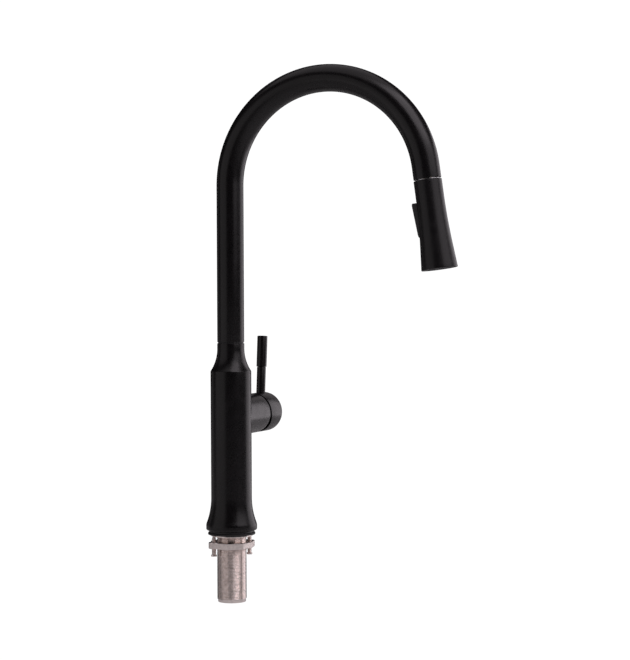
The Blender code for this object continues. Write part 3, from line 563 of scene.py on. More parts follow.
def weld_row(share, count):
    """A loop round the hub's root: on the barrel at share 0 and on the hub at share 1."""
    hub_reach, body_reach = HUB_R + WELD_R, BODY_R + WELD_R
    row = []
    for turn in around(count):
        y, z = hub_reach * sin(turn), hub_reach * cos(turn)
        x = sqrt(body_reach**2 - y**2)
        to_body = Vector((-x, -y, 0.0)).normalized()
        to_hub = Vector((0.0, -y, -z)).normalized()
        row.append(Vector((x, y, HUB_Z + z)) + WELD_R * to_body.slerp(to_hub, share))
    return row


def make_body():
    """The casting: a turned barrel with a flared neck and a bell foot, and the hub welded to its side."""
    skin = Skin()
    half = BODY_SIDES // 2
    low_z, high_z = HUB_Z - PATCH_HALF_Z, HUB_Z + PATCH_HALF_Z
    levels = [low_z + (high_z - low_z) * step / PATCH_RISE for step in range(PATCH_RISE + 1)]

    # the barrel's two whole rings below and above the patch, and its side away from the hub
    rings = [skin.loop(turn_points(BODY_R, z, BODY_SIDES, -QUARTER)) for z in (low_z, high_z)]
    back_low, back_high = ([loop[(half + i) % BODY_SIDES] for i in range(half + 1)] for loop in rings)
    turns = [QUARTER + pi * i / half for i in range(half + 1)]
    columns = [back_low]
    for z in levels[1:-1]:
        columns.append(skin.loop([(BODY_R * cos(t), BODY_R * sin(t), z) for t in turns]))
    columns.append(back_high)
    for here, there in zip(columns, columns[1:]):
        skin.join(here, there, closed=False)

    # the patch's edge, from the middle of its top round by +Y, as (vertex, turn, z)
    front = [-QUARTER + pi * i / half for i in range(half + 1)]
    edge = [(rings[1][i], front[i], high_z) for i in range(half // 2, half)]
    edge += [(columns[i][0], QUARTER, levels[i]) for i in range(PATCH_RISE, 0, -1)]
    edge += [(rings[0][i], front[i], low_z) for i in range(half, 0, -1)]
    edge += [(columns[i][-1], -QUARTER, levels[i]) for i in range(PATCH_RISE)]
    edge += [(rings[1][i], front[i], high_z) for i in range(half // 2)]
    count = len(edge)
    weld = [weld_row(step / WELD_STEPS, count) for step in range(WELD_STEPS + 1)]
    here = [vertex for vertex, _, _ in edge]
    for share in PATCH_SHARES:
        row = []
        for (_, turn, z), root in zip(edge, weld[0]):
            at = turn + (atan2(root.y, root.x) - turn) * share
            row.append((BODY_R * cos(at), BODY_R * sin(at), z + (root.z - z) * share))
        here = skin.grow(here, [row])
    weld.append([point + Vector((WELD_END, 0.0, 0.0)) for point in weld[-1]])
    here = skin.grow(here, weld)
    hub = [(HUB_R, x) for x in HUB_RINGS]
    hub += corner((HUB_R, 0.0), (HUB_R, HUB_END), (BONNET_BORE_R, HUB_END), 0.5, 4)
    hub += corner((HUB_R, HUB_END), (BONNET_BORE_R, HUB_END), (BONNET_BORE_R, 0.0), 0.3)
    hub += [(BONNET_BORE_R, BONNET_BORE_START), (VALVE_BORE_R, BONNET_BORE_START)]
    hub += [(VALVE_BORE_R, VALVE_FLOOR)]
    rows = [[(x, r * sin(t), HUB_Z + r * cos(t)) for t in around(count)] for r, x in hub]
    skin.cap(skin.grow(here, rows))

    # outwards and in again above the patch, and below it
    sweep = acos(1.0 - (BODY_R - NECK_R) / NECK_FLARE_R)
    middle = (NECK_R + NECK_FLARE_R, NECK_FLARE_TOP_Z)
    flare = arc(middle, NECK_FLARE_R, pi + sweep, pi, 24)
    upper = corner((BODY_R, 0.0), flare[0], flare[1], RIM_ROUNDING) + flare[1:]
    rim, bore = (NECK_R, top("faucet_body")), (NECK_BORE_R, top("faucet_body"))
    upper += corner(flare[-1], rim, bore, 0.3) + corner(rim, bore, (NECK_BORE_R, 0.0), 0.3)
    lower = arc((BODY_R + BELL_R, BELL_TOP_Z), BELL_R, pi, pi + BELL_SWEEP, 20)
    middle_r = lower[-1][0] - BELL_ROUND_R * cos(BELL_SWEEP)
    middle_z = lower[-1][1] - BELL_ROUND_R * sin(BELL_SWEEP)
    lower += arc((middle_r, middle_z), BELL_ROUND_R, BELL_SWEEP, 0.0, 10)[1:]
    foot = bottom("faucet_body")
    middle = (lower[-1][0] - FOOT_FILLET, foot + FOOT_FILLET)
    lower += arc(middle, FOOT_FILLET, 0.0, -QUARTER, 8)
    lower += [(CHAMBER_R, foot), (CHAMBER_R, CHAMBER_TOP_Z), (PASSAGE_R, CHAMBER_TOP_Z + PASSAGE_TAPER)]
    lower += [(PASSAGE_R, NECK_BORE_Z), (NECK_BORE_R, NECK_BORE_Z)]
    mouth = skin.grow(rings[1], turn_rows(upper, BODY_SIDES, -QUARTER))
    skin.join(skin.grow(rings[0], turn_rows(lower, BODY_SIDES, -QUARTER)), mouth)

    body = part("body_casting", "faucet_body", "matte_black", "base", skin.bm, sharp=38.0)
    cut(body, [cutter(rod(SCREW_HOLE_R, NECK_BORE_R - 1.0, BODY_R + 2.0), SCREW_HOLE)], sharp=38.0)


def make_set_screw():
    """The grub screw that keeps the spout in the neck, with a hexagon socket, seen in the body's back."""
    reach = top("spout_set_screw", 1)
    outline = rod(GRUB_R, bottom("spout_set_screw", 1), reach)
    screw = turned("spout_grub_screw", "spout_set_screw", "steel", "base", outline, SCREW_HOLE,
                   sides=48, rounding=0.4)
    socket = ((GRUB_SOCKET_R, reach - GRUB_SOCKET_DEPTH), (GRUB_SOCKET_R, reach + 1.0))
    cut(screw, [prism(turn_rows(socket, 6), SCREW_HOLE)])


# ---- foot and deck clamp ----

SEAT_R = 16.0
SEAT_LIP = 0.2  # height of the gasket's sealing lip
SEAT_LIP_R = 22.2
SHANK_R = 15.4
SHANK_ROOT_R = 14.55
SHANK_PITCH = 1.5
SHANK_BORE_R = 13.0
SHANK_TIP = 1.2  # plain stretch under the thread
SHANK_THREAD_TOP = 0.5
SHANK_COLLAR = 0.8  # from the thread to the plain stretch in the body
SHANK_SIDES = 96
THREAD_LEAD = 0.25  # least plain stretch at either end of a thread, in pitches
# one turn of a thread, as (share of its pitch, share of its height)
THREAD = ((0.0, 0.0), (0.19, 0.414), (0.34, 0.8855), (0.5, 1.0), (0.66, 0.8855), (0.81, 0.414), (0.97, 0.0))
LUGS = Matrix.Rotation(radians(-44.0), 4, "Z")
LUG_AT = 20.0
LUG_R = 5.5
LUG_BEVEL = 0.5
LUG_INSET = 0.05  # from the nut's faces
NUT_R = 22.4
NUT_PHASE = radians(10.0)
NUT_BEVEL = 0.6
SCREW_R = 2.3
SCREW_ROOT_R = 1.9
SCREW_PITCH = 0.8
SCREW_SIDES = 32
SCREW_TIP = (1.2, 0.9)  # radius and length of the point above its thread
KNOB_R = 3.0
KNOB_HEIGHT = 1.9
SLOT_HALF = 0.45
SLOT_DEPTH = 1.1


def threaded(skin, radius, root, pitch, low, high, sides):
    """Helical thread on a skin, run in and out over a turn; returns its flat loops at both ends."""
    steps = len(THREAD)
    turns = int((high - low) / pitch - 2 * THREAD_LEAD - 1.0)
    spare = (high - low) - (turns + 1.0) * pitch
    rows = turns * steps

    def point(column, row):
        share, height = THREAD[row % steps]
        done = row // steps + share + column / sides
        fade = eased(min(1.0, done, max(0.0, turns + 1.0 - done - 0.05)))
        r = root + (radius - root) * fade * height
        turn = FULL * column / sides
        return (r * cos(turn), r * sin(turn), low + spare / 2 + done * pitch)

    columns = [skin.loop([point(column, row) for row in range(rows + 1)]) for column in range(sides)]
    for here, there in zip(columns, columns[1:]):
        skin.join(here, there, closed=False)
    last, first = columns[-1], columns[0]
    for row in range(rows - steps):
        skin.cap((last[row], first[row + steps], first[row + steps + 1], last[row + 1]))
    below = skin.loop(turn_points(root, low, sides))
    above = skin.loop(turn_points(root, high, sides))
    for i, (here, there) in enumerate(zip(columns, columns[1:])):
        skin.cap((below[i], below[i + 1], there[0], here[0]))
        skin.cap((above[i], above[i + 1], there[-1], here[-1]))
    skin.cap([below[-1], below[0], *first[: steps + 1], last[0]])
    skin.cap([above[-1], above[0], first[-1], *last[rows - steps :]])
    return below, above


def make_foot():
    trim = ring(SEAT_R, top("base_ring", 0), bottom("base_ring"), top("base_ring"))
    turned("foot_trim_ring", "base_ring", "black_plastic", "base", trim, sides=128, rounding=0.35)

    outer, high = top("base_gasket", 0), top("base_gasket")
    outline = [(SEAT_R, SEAT_LIP), (SEAT_LIP_R - SEAT_LIP, SEAT_LIP), (SEAT_LIP_R, 0.0)]
    outline += corner((SEAT_R, 0.0), (outer, 0.0), (outer, high), 0.5, 4)
    outline += corner((outer, 0.0), (outer, high), (SEAT_R, high), 0.7, 4) + [(SEAT_R, high)]
    turned("deck_gasket", "base_gasket", "rubber", "base", outline, sides=128)


def make_shank():
    low, high = bottom("threaded_shank"), top("threaded_shank")
    skin = Skin()
    below, above = threaded(skin, SHANK_R, SHANK_ROOT_R, SHANK_PITCH, low + SHANK_TIP, SHANK_THREAD_TOP,
                            SHANK_SIDES)
    tip = ((SHANK_ROOT_R, low + 0.35), (SHANK_ROOT_R - 0.35, low), (SHANK_BORE_R + 0.3, low),
           (SHANK_BORE_R, low + 0.3), (SHANK_BORE_R, high))
    inner = skin.grow(below, turn_rows(tip, SHANK_SIDES))
    collar = ((SHANK_R - 0.1, SHANK_THREAD_TOP + SHANK_COLLAR), (SHANK_R - 0.1, high))
    skin.join(skin.grow(above, turn_rows(collar, SHANK_SIDES)), inner)
    part("shank_thread", "threaded_shank", "nickel", "base", skin.bm, sharp=50.0)


def lug(side):
    """Frame of a lug's axis."""
    return LUGS @ Matrix.Translation((side * LUG_AT * MM, 0.0, 0.0))


def make_nut():
    """An octagon with a round lug on either side, bored for the shank and the screws."""
    low, high = bottom("mounting_nut"), top("mounting_nut")
    outline = ((NUT_R - NUT_BEVEL, low), (NUT_R, low + NUT_BEVEL), (NUT_R, high - NUT_BEVEL),
               (NUT_R - NUT_BEVEL, high))
    skin = Skin()
    skin.solid(turn_rows(outline, 8, NUT_PHASE))
    skin.bm.transform(LUGS)
    nut = part("clamp_nut", "mounting_nut", "nickel", "nut", skin.bm)
    rows = []
    for z, inset in ((low + LUG_INSET, LUG_BEVEL), (low + LUG_BEVEL, 0.0), (high - LUG_BEVEL, 0.0),
                     (high - LUG_INSET, LUG_BEVEL)):
        end = arc((LUG_AT, 0.0), LUG_R - inset, -QUARTER, QUARTER, 16)
        rows.append([(side * x, side * y, z) for side in (1.0, -1.0) for x, y in end])
    cut(nut, [prism(rows, LUGS)], "UNION")
    bore_r = SHANK_R + CLEAR
    tools = [cutter(rod(bore_r, low - 2.0, high + 2.0), LUGS, SHANK_SIDES)]
    for z, out in ((low, -1.0), (high, 1.0)):
        wide = z + 0.6 * out
        mouth = [(0.0, z - out), (bore_r - 0.4, z - out), (bore_r + 1.2, wide), (0.0, wide)]
        tools.append(cutter(mouth, LUGS, SHANK_SIDES))
    for side in (-1.0, 1.0):
        tools.append(cutter(rod(SCREW_R + CLEAR, low - 2.0, high + 2.0), lug(side), 40))
    cut(nut, tools)


def make_thumb_screw(name, side):
    """A screw whose flat knob hangs under its lug, with a slot across it."""
    node = f"clamp_screw_{name}"
    low, high = bottom(node), top(node)
    start = low + KNOB_HEIGHT
    tip_r, tip = SCREW_TIP
    skin = Skin()
    below, above = threaded(skin, SCREW_R, SCREW_ROOT_R, SCREW_PITCH, start, high - tip, SCREW_SIDES)
    knob = [(2.5, start)] + corner((2.4, start), (KNOB_R, start), (KNOB_R, low), 0.25)
    knob += corner((KNOB_R, start), (KNOB_R, low), (0.0, low), 0.5, 4)
    skin.cap(skin.grow(below, turn_rows(knob, SCREW_SIDES)))
    skin.cap(skin.grow(above, [turn_points(tip_r, high, SCREW_SIDES)]))
    screw = part(f"thumb_screw_{name}", node, "nickel", f"screw_{name}", skin.bm, lug(side), sharp=50.0)
    slot = block((-4.0, -SLOT_HALF, low - 1.0), (4.0, SLOT_HALF, low + SLOT_DEPTH), lug(side))
    cut(screw, [slot], sharp=50.0)


def make_clamp():
    plate = ring(SHANK_R + 0.4, top("clamp_washer", 0), bottom("clamp_washer"), top("clamp_washer"))
    turned("clamp_plate", "clamp_washer", "nickel", "clamp", plate, sides=128, rounding=0.25)
    make_nut()
    make_thumb_screw("left", -1.0)
    make_thumb_screw("right", 1.0)


# ---- spout ----

TUBE_R = 14.0
TUBE_BORE_R = 12.8
BEND_START_Z = 361.9
BEND_R = 107.2
BEND_LENGTH = BEND_R * (pi - MOUTH_TILT)
BEND_STEPS = 120
MOUTH_STRAIGHT = 13.4
SWIVEL_RING_R = (12.55, 13.3)
SWIVEL_RING_SPARE = 0.25  # it is taller than its CAD node, to hide the stem behind its groove
GAP_HALF = 0.65  # half the docking gap between the spout and the spray head
DOCK_BORE_R = 8.9
DOCK_R = TUBE_BORE_R - CLEAR
MAGNET_LENGTH = 4.0
COLLAR_LENGTH = 11.5
COLLAR_GROOVES = (3.0, 5.0, 7.0)


def spout_ring(distance, radius, sides):
    """Ring of points round the spout's centreline, a distance above the start of its bend."""
    turn = min(max(distance, 0.0), BEND_LENGTH) / BEND_R
    straight = distance - turn * BEND_R
    along = Vector((0.0, -sin(turn), cos(turn)))
    centre = Vector((0.0, -BEND_R * (1.0 - cos(turn)), BEND_START_Z + BEND_R * sin(turn)))
    centre += along * straight
    across = Vector((1.0, 0.0, 0.0))
    upward = along.cross(across)
    return [centre + radius * (across * cos(t) + upward * sin(t)) for t in around(sides)]


def make_spout():
    low, high = bottom("spout_tube") - BEND_START_Z, BEND_LENGTH + MOUTH_STRAIGHT - GAP_HALF
    bends = [BEND_LENGTH * step / BEND_STEPS for step in range(BEND_STEPS + 1)]
    lips = softened(ring(TUBE_BORE_R, TUBE_R, low, high), 0.35)
    inner_low, outer_low, outer_high, inner_high = (lips[i : i + 4] for i in range(0, 16, 4))
    section = outer_low + [(TUBE_R, low / 2)] + [(TUBE_R, bend) for bend in bends]
    section += outer_high + inner_high + [(TUBE_BORE_R, bend) for bend in reversed(bends)]
    section += [(TUBE_BORE_R, low / 2)] + inner_low
    skin = Skin()
    loops = skin.loft([spout_ring(distance, radius, 96) for radius, distance in section])
    skin.join(loops[-1], loops[0])
    part("gooseneck", "spout_tube", "matte_black", "spout", skin.bm, sharp=40.0)

    low, high = bottom("swivel_ring") - SWIVEL_RING_SPARE, top("swivel_ring") + SWIVEL_RING_SPARE
    outline = ring(*SWIVEL_RING_R, low, high)
    turned("swivel_washer", "swivel_ring", "black_plastic", "spout", outline, rounding=0.15)

    low, high = -GAP_HALF - MAGNET_LENGTH, -GAP_HALF - CLEAR
    magnet = ring(DOCK_BORE_R, DOCK_R, low, high)
    turned("dock_magnet", "docking_magnet", "steel", "spout", magnet, HEAD, rounding=0.3)

    end = low - CLEAR
    start = end - COLLAR_LENGTH
    collar = [(DOCK_BORE_R, end), (DOCK_BORE_R, start + 1.6), (DOCK_BORE_R + 1.4, start), (DOCK_R, start)]
    for at in COLLAR_GROOVES:
        collar += groove(DOCK_R, start + at, 0.6, 0.2, 1.0)
    collar += [(DOCK_R, end)]
    turned("dock_collar", "docking_collar", "white_plastic", "spout", collar, HEAD)


# ---- hose end ----

HOSE_R = 5.5
HOSE_BORE_R = 2.5
HOSE_DOCKED = 4.4  # length of the stretch that comes out, while the head is docked
HOSE_ROWS = 160
HOSE_SIDES = 32
FERRULE_R = 6.4
FERRULE_START = -12.0
CRIMPS = (-10.6, -8.6, -6.6)
CONNECTOR_START = -3.0
CONNECTOR_END = 9.0
CONNECTOR_R = 7.4
NOSE_R = 6.7  # the connector's thinner end, up to its shoulder
NOSE_GROOVE = 0.8
SHOULDER = 3.2


def make_pulled_hose():
    """The stretch of hose that comes out. Its weave is laid out for the length pulled out."""
    end = FERRULE_START - CLEAR
    start = end - HOSE_DOCKED
    pull = JOINTS["head_pull_out"]["range_m"][1]
    heights = [start + (end - start) * row / HOSE_ROWS for row in range(HOSE_ROWS + 1)]
    skin = Skin()
    loops = [skin.loop(turn_points(HOSE_R, height, HOSE_SIDES)) for height in heights]
    chart = skin.bm.loops.layers.uv.new("UVMap")
    for row, (here, there) in enumerate(zip(loops, loops[1:])):
        for i in range(HOSE_SIDES):
            j = (i + 1) % HOSE_SIDES
            face = skin.bm.faces.new((here[i], here[j], there[j], there[i]))
            for loop, (turn, up) in zip(face.loops, ((i, 0), (i + 1, 0), (i + 1, 1), (i, 1))):
                loop[chart].uv = (turn / HOSE_SIDES, eased((row + up) / HOSE_ROWS) * pull)
    skin.cap(loops[0])
    skin.cap(loops[-1])
    hose = add("pull_out_hose", skin.bm, PULLED_BRAID, None, HEAD, sharp=60.0)
    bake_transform(hose)
    stands_for("hose_pullout")


def make_hose_end():
    end = CONNECTOR_START - CLEAR
    ferrule = [(HOSE_BORE_R, FERRULE_START)]
    ferrule += corner(ferrule[0], (FERRULE_R, FERRULE_START), (FERRULE_R, 0), 0.5)
    for crimp in CRIMPS:
        ferrule += groove(FERRULE_R, crimp, 0.45, 0.3, 1.1)
    ferrule += corner((FERRULE_R, FERRULE_START), (FERRULE_R, end), (HOSE_BORE_R, end), 0.4)
    ferrule += [(HOSE_BORE_R, end)]
    turned("crimped_ferrule", "hose_ferrule", "steel", "hose_end", ferrule, HEAD, sides=64)

    start, end = CONNECTOR_START, CONNECTOR_END
    union = [(HOSE_BORE_R, start)]
    union += corner(union[0], (NOSE_R, start), (NOSE_R, 0.0), 0.6)
    union += groove(NOSE_R, SHOULDER - 2.2, NOSE_GROOVE, 0.3, 2.2)[:2]
    union += [(NOSE_R - NOSE_GROOVE, SHOULDER - 0.3)]
    union += corner((NOSE_R - NOSE_GROOVE, SHOULDER), (CONNECTOR_R, SHOULDER), (CONNECTOR_R, end), 0.3)
    union += corner((CONNECTOR_R, SHOULDER), (CONNECTOR_R, end), (HOSE_BORE_R, end), 0.6)
    union += [(HOSE_BORE_R, end)]
    turned("swivel_union", "hose_connector", "brass", "hose_end", union, HEAD, sides=64)


# ---- spray head ----

HEAD_LENGTH = 90.2
HEAD_TOP_R = 14.2
HEAD_WALL = 2.2
HEAD_LID = 3.2
HEAD_NECK_R = 8.2
HEAD_ROWS = 49
HEAD_ROW = 1.75  # height of each
FLARE_START = 15.0
FLARE_END = 65.0
FLARE_R = 603.0
DOCK_PLATE_R = (9.2, 12.25)
DOCK_PLATE_HALF = 0.35
WINDOW_HALF = 7.7
WINDOW_T = (20.9, 57.7)
WINDOW_ROUND = 3.6
WINDOW_DEPTH_U = 9.0
ROCKER_T = (21.8, 56.8)  # its ends, down the head's axis
ROCKER_U = (18.5, 15.9)  # how far its face stands from that axis at either end
ROCKER_INNER_U = 12.6
ROCKER_HALF = 7.2
ROCKER_ROUND = 3.1
ROCKER_EDGE = 0.9  # rounding of its face's rim
ROCKER_CROWN = 0.35
ROCKER_SHARES = (0.2, 0.3, 0.4, 0.5, 0.6, 0.7, 0.8, 0.9, 0.97)  # loops from the rim in to the spine
DISHES = ((ROCKER_T[0] + 9.0, 0.75), (ROCKER_T[1] - 9.0, 0.65))  # middle and depth
DISH_HALF_X, DISH_HALF_T = 5.6, 7.2
ROCKER_PIN = (0.0, -11.6, 39.3)
PIN_R = 1.1
PIN_HALF = 6.4
PIN_HOLE_R = 1.4
TONGUE_HALF = 4.4
POCKET_HALF = 6.7  # room for the pin's ears, either side of the tongue
FACE_RING_WIDTH = 2.2
FACE_RING_DEPTH = 5.0
FACE_RECESS = 0.6
NOZZLE_CIRCLES = ((7.4, 12), (9.6, 16), (11.8, 20))  # radius and number of nozzles
NOZZLE_HOLE_R = 0.85
AERATOR_R = 5.3
AERATOR_RINGS = ((2.9, 3.3), (1.5, 1.9))
SPOKES = 16
SPOKE = ((1.7, -0.16), (4.5, -0.16), (4.5, 0.16), (1.7, 0.16))


def head_radius(depth):
    """Outer radius of the spray head: a straight neck, a long flare, then a cone."""
    run = min(max(depth - FLARE_START, 0.0), FLARE_END - FLARE_START)
    return HEAD_TOP_R + run * run / (2 * FLARE_R) + max(depth - FLARE_END, 0.0) * run / FLARE_R


def rounded_rectangle(half, low, high, rounding):
    """Points (x, t) round a rectangle across the head, evenly many at each corner and side."""
    points = []
    for x, t, quarter in ((half, high, 0), (-half, high, 1), (-half, low, 2), (half, low, 3)):
        centre = (x - copysign(rounding, x), t - rounding if quarter < 2 else t + rounding)
        points += arc(centre, rounding, QUARTER * quarter, QUARTER * (quarter + 1), 8)
    filled = []
    for here, there in zip(points, points[1:] + points[:1]):
        filled.append(here)
        parts = int(dist(here, there) / 1.2)
        for part_way in range(1, parts):
            share = part_way / parts
            filled.append(tuple(a + (b - a) * share for a, b in zip(here, there)))
    return filled


def make_shell():
    start = GAP_HALF
    outlet_r = head_radius(HEAD_LENGTH)
    depths = [start + 1.5 + step * HEAD_ROW for step in range(HEAD_ROWS)]
    inner_r = outlet_r - HEAD_WALL
    outline = [(HEAD_NECK_R, start)]
    outline += corner((0.0, start), (HEAD_TOP_R, start), (HEAD_TOP_R, 9.0), 0.5, 4)
    outline += [(head_radius(depth), depth) for depth in depths]
    outline += corner((outlet_r - 0.2, 80.0), (outlet_r, HEAD_LENGTH), (inner_r, HEAD_LENGTH), 0.8, 5)
    outline += corner((outlet_r, HEAD_LENGTH), (inner_r, HEAD_LENGTH), (inner_r - 0.2, 80.0), 0.5, 3)
    outline += [(head_radius(depth) - HEAD_WALL, depth) for depth in reversed(depths) if depth > 5.0]
    outline += [(HEAD_TOP_R - HEAD_WALL, start + HEAD_LID), (HEAD_NECK_R, start + HEAD_LID)]
    shell = turned("spray_head_shell", "head_shell", "head_black", "spray_head", outline, HEAD,
                   sides=128, sharp=40.0)
    window = rounded_rectangle(WINDOW_HALF, *WINDOW_T, WINDOW_ROUND)
    cut(shell, [prism([[(x, -u, t) for x, t in window] for u in (WINDOW_DEPTH_U, 30.0)], HEAD)], sharp=40.0)

    plate = ring(*DOCK_PLATE_R, -DOCK_PLATE_HALF, DOCK_PLATE_HALF)
    turned("dock_plate", "docking_steel_ring", "steel", "spray_head", plate, HEAD, rounding=0.15)


def make_outlet():
    face_r = head_radius(HEAD_LENGTH) - HEAD_WALL - CLEAR
    low, high = HEAD_LENGTH - FACE_RING_DEPTH, HEAD_LENGTH - FACE_RECESS
    outline = ring(face_r - FACE_RING_WIDTH, face_r - 0.2, low, high)
    turned("outlet_ring", "face_ring", "grey_plastic", "spray_head", outline, HEAD, sides=128, rounding=0.5)

    inner_r, plate_r = AERATOR_R + CLEAR, face_r - FACE_RING_WIDTH - CLEAR
    plate_low, plate_high = low - 1.0, high - 0.8
    plate = turned("outlet_plate", "spray_face", "black_plastic", "spray_head",
                   ring(inner_r, plate_r, plate_low, plate_high), HEAD, rounding=0.3)
    hole = ((NOZZLE_HOLE_R, plate_low - 1.0), (NOZZLE_HOLE_R, plate_high + 1.0))
    nozzle = ((0.8, plate_low - 1.0), (0.78, plate_high - 0.6), (0.62, plate_high + 0.75),
              (0.5, plate_high + 0.9), (0.28, plate_high + 0.9), (0.22, plate_high - 0.6))
    holes, mat = Skin(), Skin()
    mat.turn(softened(ring(inner_r, plate_r, plate_low - 2.0, plate_low - CLEAR), 0.2), 64)
    for radius, count in NOZZLE_CIRCLES:
        for x, y, _ in turn_points(radius, 0.0, count, pi / count):
            for skin, outline, sides in ((holes, hole, 12), (mat, nozzle, 16)):
                rows = turn_rows(outline, sides)
                skin.solid([[(x + dx, y + dy, z) for dx, dy, z in row] for row in rows])
    cut(plate, [add("cutter", holes.bm, place=HEAD)])
    part("nozzle_insert", "nozzle_mat", "silicone", "spray_head", mat.bm, HEAD)

    high -= 0.6
    aerator = Skin()
    aerator.turn(softened(ring(4.3, AERATOR_R, low - 4.0, high), 0.35), 64)
    for inner, outer in AERATOR_RINGS:
        aerator.turn(softened(ring(inner, outer, high - 3.0, high - 0.5), 0.2), 64)
    for angle in around(SPOKES):
        turn = Matrix.Rotation(angle, 4, "Z")
        aerator.solid([[turn @ Vector((x, y, z)) for x, y in SPOKE] for z in (high - 3.0, high - 0.7)])
    part("aerator_grid", "aerator", "grey_plastic", "spray_head", aerator.bm, HEAD)


def rocker_face(x, t):
    """How far the rocker's face stands from the head's axis: slanted, crowned, with two finger dishes."""
    run = (t - ROCKER_T[0]) / (ROCKER_T[1] - ROCKER_T[0])
    face = ROCKER_U[0] + (ROCKER_U[1] - ROCKER_U[0]) * run - ROCKER_CROWN * (x / ROCKER_HALF) ** 2
    for middle, depth in DISHES:
        off = (x / DISH_HALF_X) ** 2 + ((t - middle) / DISH_HALF_T) ** 2
        face -= depth * max(0.0, 1.0 - off) ** 2
    return face


def make_rocker():
    rim = rounded_rectangle(ROCKER_HALF, *ROCKER_T, ROCKER_ROUND)
    middle = (ROCKER_T[0] + ROCKER_T[1]) / 2
    spine_half = (ROCKER_T[1] - ROCKER_T[0]) / 2 - ROCKER_HALF

    def face_row(share, drop=0.0):
        """The face's rim drawn in towards its own spine, and let down by a drop."""
        row = []
        for x, t in rim:
            spine = middle + min(max(t - middle, -spine_half), spine_half)
            x, t = x * (1.0 - share), t + (spine - t) * share
            row.append((x, drop - rocker_face(x, t), t))
        return row

    rows = [[(x, -ROCKER_INNER_U, t) for x, t in rim]]
    for step in range(6):
        turn = QUARTER * step / 5
        share = ROCKER_EDGE * (1.0 - cos(turn)) / ROCKER_HALF
        rows.append(face_row(share, ROCKER_EDGE * (1.0 - sin(turn))))
    rows += [face_row(share) for share in ROCKER_SHARES]
    rocker = part("spray_rocker", "rocker_button", "black_plastic", "rocker", Skin().solid(rows), HEAD,
                  sharp=45.0)

    _, pin_y, pin_t = ROCKER_PIN
    inner = -ROCKER_INNER_U
    tongue = block((-TONGUE_HALF, inner - 1.0, pin_t - 2.6), (TONGUE_HALF, -9.7, pin_t + 2.6), HEAD)
    cut(rocker, [tongue], "UNION", sharp=45.0)
    tools = []
    for low_x, high_x in ((-POCKET_HALF, -TONGUE_HALF), (TONGUE_HALF, POCKET_HALF)):
        tools.append(block((low_x, pin_y - 2.7, pin_t - 4.0), (high_x, 1.0 + inner, pin_t + 4.0), HEAD))
    pin = HEAD @ Matrix.Translation(Vector(ROCKER_PIN) * MM) @ Matrix.Rotation(QUARTER, 4, "Y")
    tools.append(cutter(rod(PIN_HOLE_R, -POCKET_HALF, POCKET_HALF), pin))
    cut(rocker, tools, sharp=45.0)
    turned("rocker_axle", "rocker_pin", "steel", "spray_head", rod(PIN_R, -PIN_HALF, PIN_HALF), pin,
           sides=32, rounding=0.2)


# ---- handle ----

BONNET_R = 17.5
BONNET_START = 43.3
BONNET_HOLE_R = 8.8  # round the valve's turret
BONNET_MOUTH_R = 10.6
BONNET_MOUTH = 51.0
CAP_START = 59.9
CAP_END = 89.5
CAP_RELIEF = radians(17.0)
CAP_EDGE = 1.2
CAP_CAVITY_R = 18.6
CAP_LIP_R = 20.4
CAP_BEVEL = 2.6
CAP_FLOOR = 70.0
BOSS_R = 8.6
BOSS_START = 67.0
SOCKET_HALF = 3.3
SOCKET_END = 76.0
SEAT_UP = 20.1  # the lever's seat, measured along the lever
ROD_R = 4.8
ROD_TOP = 48.5
STUD_R = 2.9
STUD_LENGTH = 10.0
GRIP_R = 5.45
GRIP_TOP = 82.0
GRUB = basis((72.5 * MM, 0.0, HUB_Z * MM), (0.0, 0.0, -1.0))  # the handle's own screw, from below
GRUB_HOLE_R = 2.3
PLUG_R = 2.1


def make_bonnet():
    crown = HUB_END + 4.4
    bends = ((BONNET_R, HUB_END), (BONNET_R, HUB_END + 0.7), (16.2, HUB_END + 1.7), (12.0, crown),
             (BONNET_MOUTH_R, crown), (BONNET_MOUTH_R, BONNET_MOUTH))
    outline = [(BONNET_HOLE_R, BONNET_START), (BONNET_R, BONNET_START), (BONNET_R, HUB_END + CLEAR)]
    for before, here, after, rounding in zip(bends, bends[1:], bends[2:], (0.3, 0.6, 0.5, 0.4)):
        outline += corner(before, here, after, rounding)
    outline += [bends[-1], (BONNET_HOLE_R, BONNET_MOUTH - 1.0)]
    turned("bonnet_dome", "bonnet_nut", "black_plastic", "base", outline, HUB)


